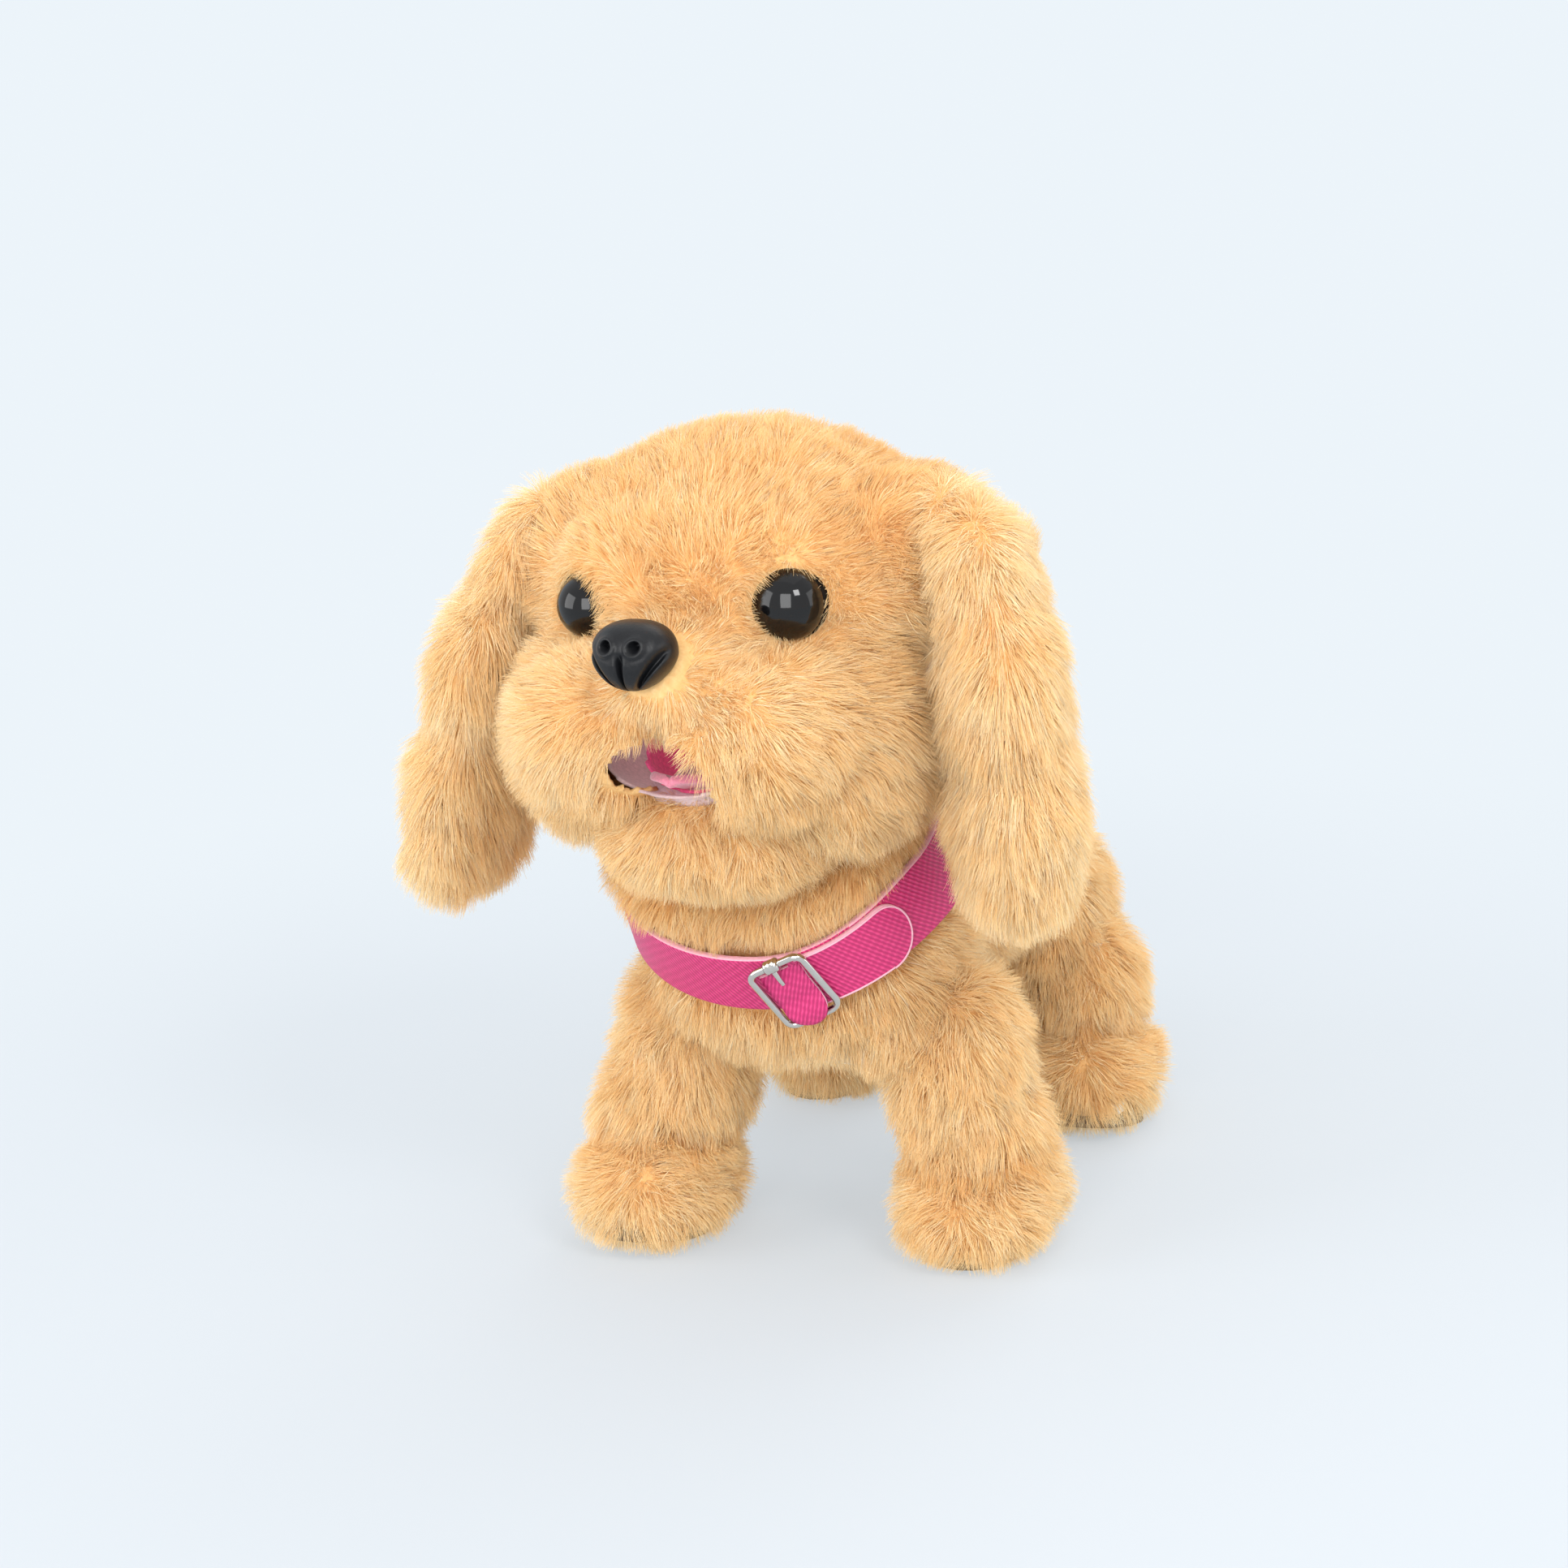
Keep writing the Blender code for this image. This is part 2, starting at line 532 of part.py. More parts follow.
# Rooms in the cover for the linkage and legs: left and right names, left box's corners
SIDE_ROOMS = (
    ("linkage_room", "linkage_room_right", (18, -54, 57), (29.4, 30, 92)),
    ("linkage_room_rear", "linkage_room_rear_right", (18, 20, 49), (29.4, 74, 84)),
    ("leg_room_fl", "leg_room_fr", (19.6, -72, 20), (65, -2, 49.6)),
    ("leg_room_rl", "leg_room_rr", (19.6, 28, 20), (65, 95, 49.6)),
    ("plate_room_fl", "plate_room_fr", (19.6, -54, 40), (29.4, -20, 60)))

cover = solid("body_fur_cover", blob(*TORSO[0], grid=FINE), FUR)
join(cover, *blob_set("torso", TORSO[1:]))
cut(cover, *blob_set("torso_in", TORSO[:6], PILE))

# A ring-shaped tool sinks the collar into the fur.
band = oval((COLLAR_A + 8, COLLAR_B + 8), -COLLAR_W - 1, 1, 48)
core = oval((COLLAR_A - 1.4, COLLAR_B - 1.4), -COLLAR_W - 3, 3, 48)
groove = solid("collar_groove", band, **COLLAR_PLACE)
cut(groove, solid("collar_groove_core", core, **COLLAR_PLACE))

neck_limit = tipped(box((-60, -70, 0), (60, 71, 60)), (0, -76, 86), math.radians(19.3))
cut(cover, solid("neck_limit", neck_limit),
    solid("neck_well", upright(0, -40, 78, 130, 27, 24)),
    solid("casing_room", box((-19.3, -51, 46.2), (19.3, 67.2, 98.2))),
    solid("belly_opening", box((-20, -28, 25), (20, 65, 47))))
for room in SIDE_ROOMS:
    cut(cover, *box_pair(*room))
buckle_room = rod(buckle_at - outward_world * 1.4, buckle_at + outward_world * 14, 12.6, 20)
cut(cover, solid("buckle_room", buckle_room),
    solid("tail_room", box((-9.5, 66, 89), (9.5, 100, 114))),
    groove)

strap = oval((COLLAR_A, COLLAR_B), -COLLAR_W, 0, 48, caps=False)
collar = solid("collar_strap", strap, PINK, **COLLAR_PLACE)
thickness = collar.modifiers.new("thickness", "SOLIDIFY")
thickness.thickness = 1.8 * MM
thickness.offset = 0


def buckle_frame():
    """A wire rectangle with rounded corners."""
    wire = bpy.data.curves.new("collar_buckle_frame", "CURVE")
    wire.dimensions = "3D"
    wire.bevel_depth = 0.8 * MM
    wire.bevel_resolution = 2
    wire.resolution_u = 1
    length, width = BUCKLE_HALF_L - BUCKLE_CORNER_R, BUCKLE_HALF_W - BUCKLE_CORNER_R
    points = []
    for x, z, first in ((length, width, 0), (-length, width, 90),
                        (-length, -width, 180), (length, -width, 270)):
        for k in range(4):
            angle = math.radians(first + k * 30)
            points.append(buckle_along * (x + BUCKLE_CORNER_R * math.cos(angle))
                          + buckle_up * (z + BUCKLE_CORNER_R * math.sin(angle)))
    path = wire.splines.new("POLY")
    path.points.add(len(points) - 1)
    path.use_cyclic_u = True
    for point, place in zip(path.points, points):
        point.co = (*(place * MM), 1)
    buckle = bpy.data.objects.new("collar_buckle_frame", wire)
    buckle.location = buckle_at * MM
    toy.objects.link(buckle)
    wire.materials.append(finish("collar_buckle_frame", **NICKEL))


buckle_frame()
top_bar = buckle_at + buckle_up * BUCKLE_HALF_W
prong_top = top_bar + outward_world * 1.9
prong = rod(prong_top + buckle_up * 0.6, prong_top - buckle_up * (2 * BUCKLE_HALF_W + 0.8), 0.7, 12)
solid("collar_buckle_prong", prong, NICKEL, at=top_bar)

# ------------------------------------------------------------------ head
# Soft forms: centre, radii, power
SKULL = ((0, -54, 154), (36, 32, 30), 2.0)
SNOUT = ((0, -86, 147), (12, 19, 11), 2.0)
HEAD = [((0, -51, 156), (51, 46, 41), 2.0),
        ((27, -70, 130), (26, 30, 27), 2.0),
        ((-27, -70, 130), (26, 30, 27), 2.0),
        ((19, -91, 137), (23, 25, 21), 2.0),
        ((-19, -91, 137), (23, 25, 21), 2.0),
        ((0, -90, 147), (19, 25, 18), 2.0)]
JAW_SHAPE = [((0, -72, 111), (25, 22, 14), 2.2), ((0, -84, 116.5), (18, 16, 7.5), 2.2)]
SKULL_WALL = 2
SKULL_SPLIT_Y = SKULL[0][1] + SPLIT_GAP
EYE_X, EYE_Z = 23.5, 163
NOSE_AT = (0, -111.5, 158)
NOSE_PEG = (0, 152.5)   # x, z
HEAD_AT = (0, *NECK)
JAW_AT = (0, *JAW)
EAR_PIVOT = (51.0, -61.0, 180.0)


def eye_rods(stem, start, end, radius):
    return [solid(f"{stem}_{name}", lengthways(EYE_X * side, EYE_Z, start, end, radius))
            for name, side in SIDES]


shell_front = solid("head_shell_front", blob(*SKULL), SHELL, at=HEAD_AT)
join(shell_front, solid("snout", blob(*SNOUT, grid=COARSE), at=HEAD_AT))
skull_in = blob(SKULL[0], [radius - SKULL_WALL for radius in SKULL[1]])
skull_hollow = solid("skull_hollow", skull_in, at=HEAD_AT)
cut(shell_front, skull_hollow,
    solid("front_limit", box((-60, SKULL_SPLIT_Y, 100), (60, 20, 200))))
join(shell_front, *box_pair("jaw_lug_left", "jaw_lug_right",
                            (16, -64.5, 115), (18.5, -55.8, 131), HEAD_AT))
cut(shell_front, solid("jaw_lug_bores", across(*JAW, -25, 25, PIN_BORE_R), at=HEAD_AT),
    *eye_rods("eye_bore", -90, -68, 3.3),
    solid("nose_bore", lengthways(*NOSE_PEG, -112, -95.5, 2.8)))

shell_back = solid("head_shell_back", blob(*SKULL), SHELL, at=HEAD_AT)
cut(shell_back, skull_hollow,
    solid("back_limit", box((-60, -110, 100), (60, SKULL_SPLIT_Y, 200))))
join(shell_back, *box_pair("neck_lug_left", "neck_lug_right",
                           (7.5, -43, 113), (10, -33, 131), HEAD_AT))
cut(shell_back, solid("neck_lug_bores", across(*NECK, -25, 25, PIN_BORE_R), at=HEAD_AT))

solid("neck_pin", across(*NECK, -11.5, 11.5, PIN_R), STEEL, at=HEAD_AT)
solid("jaw_pin", across(*JAW, -19.5, 19.5, PIN_R), STEEL, at=JAW_AT)

for (name, side), peg in zip(SIDES, eye_rods("eye_peg", -84, -71.5, 3.0)):
    ball = blob((EYE_X * side, -86.5, EYE_Z), (8, 7.5, 8), grid=COARSE)
    join(solid(f"eye_{name}", ball, GLOSS, at=(EYE_X * side, -86, EYE_Z)), peg)
nose_form = blob(NOSE_AT, (10, 8.5, 8.2), 2.3, grid=COARSE)
nose = solid("nose", nose_form, GLOSS, at=(0, -111, 158))
join(nose, solid("nose_peg", lengthways(*NOSE_PEG, -110, -96.5, 2.5)))

head = solid("head_fur_cover", blob(*HEAD[0], grid=FINE), FUR, at=HEAD_AT)
join(head, *blob_set("head_part", HEAD[1:]))
cut(head, *blob_set("head_in", HEAD, PILE))
cut(head, solid("head_bottom", box((-70, -140, 80), (70, 10, 107))),
    solid("neck_hole", upright(0, -40, 95, 133, 26, 24)),
    *blob_set("jaw_room", JAW_SHAPE, -3),
    solid("mouth_room", blob((0, -95, 127), (16, 21, 8), 2.5)),
    solid("snout_room", blob(SNOUT[0], [radius + 0.6 for radius in SNOUT[1]])),
    solid("nose_room", blob(NOSE_AT, (10.5, 9, 8.7), 2.3, grid=COARSE)),
    solid("nose_peg_room", lengthways(*NOSE_PEG, -112, -94, 3.2)),
    *eye_rods("eye_room", -110, -66, 8.8))
solid("mouth_lining", box((-12.5, -102, 130), (12.5, -82, 131.5)), LINING, at=(0, -92, 130))

jaw_frame = solid("jaw_frame", box((-15, -92, 110.5), (15, -56, 112.5)), SHELL, at=JAW_AT)
join(jaw_frame, *box_pair("jaw_arm_left", "jaw_arm_right",
                          (12.4, -64, 110.6), (15, -56, 124), JAW_AT))
cut(jaw_frame, solid("jaw_bores", across(*JAW, -25, 25, PIN_BORE_R), at=JAW_AT))
jaw_fur = solid("jaw_fur", blob(*JAW_SHAPE[0], grid=COARSE), FUR, at=JAW_AT)
join(jaw_fur, solid("jaw_lip", blob(*JAW_SHAPE[1], grid=COARSE), at=JAW_AT))
cut(jaw_fur, solid("jaw_slot", box((-19.6, -92.6, 109.9), (19.6, -30, 150)), at=JAW_AT))
tongue = tipped(box((-7, -14.5, -0.7), (7, 14.5, 0.7)), (0, -85.5, 120.8), math.atan2(-11, 27))
solid("tongue", tongue, TONGUE, at=JAW_AT)

for name, side in SIDES:
    ear = blob((63 * side, -61, 137), (8.5, 25, 51), 2.3, tilt=-7 * side, grid=(16, 12))
    solid(f"ear_{name}", ear, FUR, at=(EAR_PIVOT[0] * side, *EAR_PIVOT[1:]))

# ------------------------------------------------------------------ tail
TAIL_AT = (*TAIL, 97)
ARM_ROOT_Y, ARM_ROOT_Z = TAIL[1] + 2.4, 97.2

solid("tail_pin", upright(*TAIL, 90.4, 104, PIN_R), STEEL, at=TAIL_AT)
tail_core = solid("tail_core", upright(*TAIL, 93.8, 100.6, 4.0), SHELL, at=TAIL_AT)
tail_arm = rod((0, ARM_ROOT_Y, ARM_ROOT_Z), (0, 104, 118), 2.2)
join(tail_core, solid("tail_arm", tail_arm, at=TAIL_AT))
cut(tail_core, solid("tail_hub_bore", upright(*TAIL, 85, 110, PIN_BORE_R), at=TAIL_AT))
tail_form = blob((0, 103, 115), (11.5, 17, 29), grid=(14, 10))
tail_fur = solid("tail_fur", tail_form, FUR, at=TAIL_AT)
arm_room = rod((0, ARM_ROOT_Y - 3.2, ARM_ROOT_Z - 2.41), (0, 106, 119.5), 2.7)
cut(tail_fur, solid("tail_arm_room", arm_room, at=TAIL_AT))
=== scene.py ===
"""Looks of the walking plush puppy: pile, face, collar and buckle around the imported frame.

The puppy stands on z = 0 and faces -Y, with its left at +X. Lengths are millimetres in the
frame's axes unless a comment says metres; every mesh is written in metres.
"""
import json
import math

import bmesh
import bpy
import numpy as np
from mathutils import Matrix, Vector, kdtree


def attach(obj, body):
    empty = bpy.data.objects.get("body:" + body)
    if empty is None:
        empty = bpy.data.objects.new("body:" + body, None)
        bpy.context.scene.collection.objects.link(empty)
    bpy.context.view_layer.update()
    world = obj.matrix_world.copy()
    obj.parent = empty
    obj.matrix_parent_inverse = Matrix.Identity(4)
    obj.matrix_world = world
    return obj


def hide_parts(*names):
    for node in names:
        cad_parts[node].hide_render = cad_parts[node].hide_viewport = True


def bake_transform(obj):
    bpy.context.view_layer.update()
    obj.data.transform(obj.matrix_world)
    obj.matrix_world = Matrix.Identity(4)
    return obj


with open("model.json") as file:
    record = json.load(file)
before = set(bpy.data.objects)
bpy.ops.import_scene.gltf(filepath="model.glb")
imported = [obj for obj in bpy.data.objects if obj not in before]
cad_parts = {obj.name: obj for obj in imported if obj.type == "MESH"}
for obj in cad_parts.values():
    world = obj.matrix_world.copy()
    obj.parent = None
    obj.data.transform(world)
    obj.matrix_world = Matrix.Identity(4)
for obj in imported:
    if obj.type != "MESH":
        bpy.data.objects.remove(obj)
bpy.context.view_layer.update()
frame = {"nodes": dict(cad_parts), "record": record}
MM = 0.001

# Leg axes: hip height, hip y front and rear, rest lean in degrees, distance from the midplane
HIP_Z, HIP_FRONT, HIP_REAR, LEAN, LEG_X = 62.0, -37.0, 60.0, 6.5, 38.5

# Eyes, left then right: centre and radius
EYES = [(22.8, -86.5, 163.7), (-23.6, -86.5, 162.0)]
EYE_RADII = (7.9, 7.0)
NOSE_AT = np.array([0.0, -111.0, 157.0])      # the face pile is brushed away from here

# Collar: an elliptical strap, tilted about X; its centre lies at the level of its top edge
COLLAR_CENTRE = np.array([0, -42.0, 97.5])
COLLAR_A, COLLAR_B, COLLAR_WIDTH = 40.0, 38.0, 15.0      # half widths across and fore-aft
COLLAR_MEAN = (COLLAR_A + COLLAR_B) / 2
COLLAR_TILT = math.radians(26)
LIFT, PULL = 5.0, 5.0      # how far the strap climbs and leans in at the left side


# ------------------------------------------------------------------ small helpers
def unit(vectors):
    return vectors / np.maximum(np.linalg.norm(vectors, axis=-1, keepdims=True), 1e-9)


def ease(value, start, end):
    """A smooth step: 0 at start and before, 1 at end and after."""
    t = np.clip((value - start) / (end - start), 0, 1)
    return t * t * (3 - 2 * t)


def bell(value, width):
    return np.exp(-(value / width) ** 2)


def distance(points, centre, stretch=1.0):
    return np.linalg.norm((points - np.array(centre)) * stretch, axis=1)


def push(points, normals, amount):
    """Moves points along their normals, in place."""
    points += normals * amount[:, None]


def link(obj):
    bpy.context.scene.collection.objects.link(obj)
    return obj


def mesh_from(name, points, faces, material=None):
    mesh = bpy.data.meshes.new(name)
    mesh.from_pydata([tuple(v * MM for v in p) for p in points], [], faces)
    mesh.update()
    mesh.shade_smooth()
    if material:
        mesh.materials.append(material)
    return link(bpy.data.objects.new(name, mesh))


def object_from_bmesh(name, bm, material=None):
    """An object from a bmesh in metres; with a material it is smooth-shaded too."""
    mesh = bpy.data.meshes.new(name)
    bm.to_mesh(mesh)
    bm.free()
    if material:
        mesh.shade_smooth()
        mesh.materials.append(material)
    return link(bpy.data.objects.new(name, mesh))


def grid_faces(rows, cols):
    corners = [i * cols + j for i in range(rows - 1) for j in range(cols - 1)]
    return [(a, a + 1, a + cols + 1, a + cols) for a in corners]


def face_outward(obj, sharp_degrees, weld=False):
    bm = bmesh.new()
    bm.from_mesh(obj.data)
    if weld:
        bmesh.ops.remove_doubles(bm, verts=bm.verts, dist=1e-6)
    bmesh.ops.recalc_face_normals(bm, faces=bm.faces)
    bm.to_mesh(obj.data)
    bm.free()
    obj.data.shade_smooth()
    obj.data.set_sharp_from_angle(angle=math.radians(sharp_degrees))


def get_points(obj):
    flat = np.empty(len(obj.data.vertices) * 3, np.float32)
    obj.data.vertices.foreach_get("co", flat)
    return flat.reshape(-1, 3).astype(float) / MM


def set_points(obj, points):
    obj.data.vertices.foreach_set("co", (points * MM).astype(np.float32).ravel())
    obj.data.update()


def get_normals(obj):
    flat = np.empty(len(obj.data.vertices) * 3, np.float32)
    obj.data.vertex_normals.foreach_get("vector", flat)
    return flat.reshape(-1, 3).astype(float)


def set_uvs(mesh, layer, uvs):
    """A UV map from one (u, v) per vertex."""
    uv_map = mesh.uv_layers.new(name=layer)
    loops = np.empty(len(mesh.loops), np.int32)
    mesh.loops.foreach_get("vertex_index", loops)
    uv_map.data.foreach_set("uv", uvs[loops].astype(np.float32).ravel())


def bake_modifiers(obj):
    depsgraph = bpy.context.evaluated_depsgraph_get()
    mesh = bpy.data.meshes.new_from_object(obj.evaluated_get(depsgraph), depsgraph=depsgraph)
    old = obj.data
    obj.modifiers.clear()
    obj.data = mesh
    mesh.name = obj.name
    if old.users == 0:
        bpy.data.meshes.remove(old)


def thicken(obj, thickness, offset=-1, subdivide=False):
    solid = obj.modifiers.new("cloth", "SOLIDIFY")
    solid.thickness, solid.offset = thickness * MM, offset
    if subdivide:
        soft = obj.modifiers.new("soft", "SUBSURF")
        soft.levels = soft.render_levels = 1
    bake_modifiers(obj)


def mount(pieces, body, replaced=None):
    """Pieces ride on one body; the frame's piece named by replaced is hidden."""
    for piece in pieces:
        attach(piece, body)
    if replaced:
        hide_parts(replaced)


def mount_blend(pieces, replaced=None):
    """Plush pieces with their placement baked into their meshes; the frame's piece named by replaced
    is hidden.
    """
    for piece in pieces:
        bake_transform(piece)
    if replaced:
        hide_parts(replaced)


def wave(points, wavelength, seed):
    """A smooth vector noise from sums of sines."""
    rng = np.random.default_rng(seed)
    out = np.zeros_like(points)
    for _ in range(5):
        k = rng.normal(size=(3, 3))
        k = (k / np.linalg.norm(k, axis=1, keepdims=True) * (2 * math.pi / wavelength)
             * rng.uniform(0.7, 1.4, (3, 1)))
        out += np.sin(points @ k.T + rng.uniform(0, 6.28, 3))
    return out / 2.2


# ------------------------------------------------------------------ materials
def new_material(name):
    material = bpy.data.materials.new(name)
    material.use_nodes = True
    tree = material.node_tree
    return material, tree, tree.nodes["Principled BSDF"]


def set_inputs(node, inputs):
    """Links each input that is given a socket, and sets the others."""
    for key, value in inputs.items():
        if isinstance(value, bpy.types.NodeSocket):
            node.id_data.links.new(value, node.inputs[key])
        else:
            node.inputs[key].default_value = value


def add_node(tree, kind, inputs, **settings):
    node = tree.nodes.new("ShaderNode" + kind)
    for key, value in settings.items():
        setattr(node, key, value)
    set_inputs(node, inputs)
    return node


def add_ramp(tree, factor, stops):
    """A colour ramp through (position, colour) stops; gives its colour output."""
    ramp = add_node(tree, "ValToRGB", {"Fac": factor})
    elements = ramp.color_ramp.elements
    while len(elements) < len(stops):
        elements.new(0.5)
    for element, (position, colour) in zip(elements, stops):
        element.position, element.color = position, (*colour, 1)
    return ramp.outputs["Color"]


def multiply_add(tree, value, factor, addend):
    inputs = {0: value, 1: factor, 2: addend}
    return add_node(tree, "Math", inputs, operation="MULTIPLY_ADD").outputs[0]


def multiply(tree, value, factor):
    return add_node(tree, "Math", {0: value, 1: factor}, operation="MULTIPLY").outputs[0]


# Ramp stops: position, colour
FUR_TONES = [(0.0, (0.78, 0.43, 0.14)), (0.3, (0.91, 0.60, 0.255)), (0.6, (0.965, 0.725, 0.385)),
             (0.88, (0.985, 0.84, 0.56)), (1.0, (0.985, 0.88, 0.68))]
# Multiplies the strand colour along its length: painted shade deep in the pile at the root, none at
# the tip
ROOT_SHADE_TO_TIP = [(0.0, (0.86, 0.76, 0.62)), (0.4, (0.98, 0.955, 0.92)), (1.0, (1, 1, 1))]


def fur_colour(tree, tone, along):
    """Colour from a strand's tone (0 to 1) and the way along it: darker at the root, painted shade
    deep in the pile.
    """
    base = add_ramp(tree, tone, FUR_TONES)
    shade = add_ramp(tree, along, ROOT_SHADE_TO_TIP)
    mix = add_node(tree, "Mix", {"Factor": 1.0}, data_type="RGBA", blend_type="MULTIPLY")
    set_inputs(mix, {6: base, 7: shade})
    return mix.outputs[2]


def strand_material():
    material, tree, shader = new_material("plush_strands")
    uv = add_node(tree, "UVMap", {}, uv_map="OFBake")
    parts = add_node(tree, "SeparateXYZ", {0: uv.outputs["UV"]})
    set_inputs(shader, {
        "Base Color": fur_colour(tree, parts.outputs["X"], parts.outputs["Y"]),
        "Roughness": 0.75, "Specular IOR Level": 0.22,
        "Sheen Weight": 0.25, "Sheen Roughness": 0.5})
    return material


def fibre_material():
    material, tree, shader = new_material("plush_fibres")
    tone = add_node(tree, "Attribute", {}, attribute_name="tone")
    hair = add_node(tree, "HairInfo", {})
    colour = fur_colour(tree, tone.outputs["Fac"], hair.outputs["Intercept"])
    set_inputs(shader, {"Base Color": colour, "Roughness": 0.6, "Specular IOR Level": 0.3,
                        "Sheen Weight": 0.2})
    through = add_node(tree, "BsdfTranslucent", {"Color": colour})
    mix = add_node(tree, "MixShader", {0: 0.36, 1: shader.outputs[0], 2: through.outputs[0]})
    set_inputs(tree.nodes["Material Output"], {"Surface": mix.outputs[0]})
    return material


def skin_material():
    """The ground cloth beneath the pile, darker than the strands as painted shade deep in the pile.
    """
    material, tree, shader = new_material("plush_ground")
    place = add_node(tree, "TexCoord", {}).outputs["Object"]
    big = add_node(tree, "TexNoise",
                   {"Vector": place, "Scale": 90.0, "Detail": 6.0, "Roughness": 0.65})
    fine = add_node(tree, "TexNoise", {"Vector": place, "Scale": 900.0, "Detail": 3.0})
    mixed = multiply_add(tree, fine.outputs["Fac"], 0.5, multiply(tree, big.outputs["Fac"], 0.5))
    # darker golden browns: painted shade deep in the pile
    colour = add_ramp(tree, mixed, [(0.3, (0.70, 0.40, 0.15)), (0.55, (0.82, 0.52, 0.23)),
                                    (0.75, (0.88, 0.61, 0.31))])
    bump = add_node(tree, "Bump",
                    {"Strength": 0.6, "Distance": 0.0006, "Height": fine.outputs["Fac"]})
    set_inputs(shader, {"Base Color": colour, "Roughness": 0.95, "Specular IOR Level": 0.1,
                        "Normal": bump.outputs[0]})
    return material


def simple(name, colour, rough, grain, vary, metal=0.0, spec=0.5, bump=0.0, sheen=0.0):
    """A surface whose colour, roughness and normal vary with one noise.

    grain is the noise scale, vary the share by which the colour darkens.
    """
    material, tree, shader = new_material(name)
    place = add_node(tree, "TexCoord", {}).outputs["Object"]
    noise = add_node(tree, "TexNoise", {"Vector": place, "Scale": grain, "Detail": 4.0})
    level = noise.outputs["Fac"]
    dark = tuple(c * (1 - vary) for c in colour)
    roughness = add_node(tree, "MapRange", {"Value": level, "To Min": max(0.02, rough - 0.06),
                                            "To Max": min(1.0, rough + 0.06)})
    set_inputs(shader, {
        "Base Color": add_ramp(tree, level, [(0.3, dark), (0.7, colour)]),
        "Roughness": roughness.outputs[0], "Metallic": metal,
        "Specular IOR Level": spec, "Sheen Weight": sheen})
    if bump:
        relief = add_node(tree, "Bump", {"Strength": bump, "Distance": 0.0002, "Height": level})
        set_inputs(shader, {"Normal": relief.outputs[0]})
    return material


STRAND, FIBRE, SKIN = strand_material(), fibre_material(), skin_material()
IVORY = simple("ivory_moulding", (0.80, 0.77, 0.70), rough=0.45, grain=900, bump=0.15, vary=0.05)
ACETAL = simple("acetal", (0.88, 0.88, 0.85), rough=0.38, grain=700, bump=0.08, vary=0.03)
BLACK = simple("black_moulding", (0.022, 0.022, 0.025), rough=0.5, grain=1400, bump=0.3, vary=0.2)
STEEL = simple("bright_steel", (0.60, 0.60, 0.61), rough=0.3, metal=1.0, grain=1200, bump=0.08,
               vary=0.1)
NICKEL = simple("nickel", (0.60, 0.58, 0.545), rough=0.13, metal=1.0, grain=600, bump=0.03,
                vary=0.06)
EYE_GLOSS = simple("eye_dome", (0.004, 0.004, 0.0045), rough=0.05, spec=0.42, grain=60, vary=0.3)
NOSE_SATIN = simple("nose_satin", (0.006, 0.0065, 0.008), rough=0.40, spec=0.34, grain=1500,
                    bump=0.3, vary=0.3)
RUBBER = simple("sole_rubber", (0.17, 0.115, 0.07), rough=0.8, grain=900, bump=0.4, vary=0.2)
BOARD = simple("solder_mask", (0.03, 0.19, 0.07), rough=0.35, grain=500, bump=0.05, vary=0.15)
CELL = simple("cell_jacket", (0.12, 0.16, 0.22), rough=0.3, metal=0.3, grain=200, vary=0.1)
LIP = simple("mouth_lip", (0.80, 0.66, 0.70), rough=0.75, spec=0.25, grain=1500, bump=0.4,
             vary=0.15, sheen=0.3)
FELT = simple("tongue_felt", (0.88, 0.29, 0.40), rough=0.9, spec=0.15, grain=1800, bump=0.8,
              vary=0.25, sheen=0.5)
MAUVE = simple("mouth_mauve", (0.66, 0.47, 0.47), rough=0.8, spec=0.2, grain=1500, bump=0.5,
               vary=0.25, sheen=0.3)
ROSE = simple("mouth_rose", (0.82, 0.10, 0.25), rough=0.8, spec=0.2, grain=1500, bump=0.5,
              vary=0.3, sheen=0.3)

# A faint glow stands for light that soaks through the thin lining
for cloth, glow_colour in ((MAUVE, (0.60, 0.40, 0.40, 1)), (ROSE, (0.62, 0.07, 0.18, 1))):
    set_inputs(cloth.node_tree.nodes["Principled BSDF"],
               {"Emission Color": glow_colour, "Emission Strength": 0.16})

LOOKS = {"ivory_plastic": IVORY, "gear_plastic": ACETAL, "black_plastic": BLACK,
         "gloss_black": EYE_GLOSS, "satin_black": NOSE_SATIN, "steel": STEEL, "nickel": NICKEL,
         "sole_rubber": RUBBER, "board_green": BOARD, "cell_jacket": CELL, "tongue_felt": FELT,
         "mouth_fabric": MAUVE, "golden_plush": SKIN, "collar_pink": SKIN}
slot_of = {part["node"]: part["material_slot"] for part in frame["record"]["subparts"]}
for node_name, part_object in frame["nodes"].items():
    part_object.data.materials.clear()
    part_object.data.materials.append(LOOKS[slot_of[node_name]])
    part_object.data.set_sharp_from_angle(angle=math.radians(35))


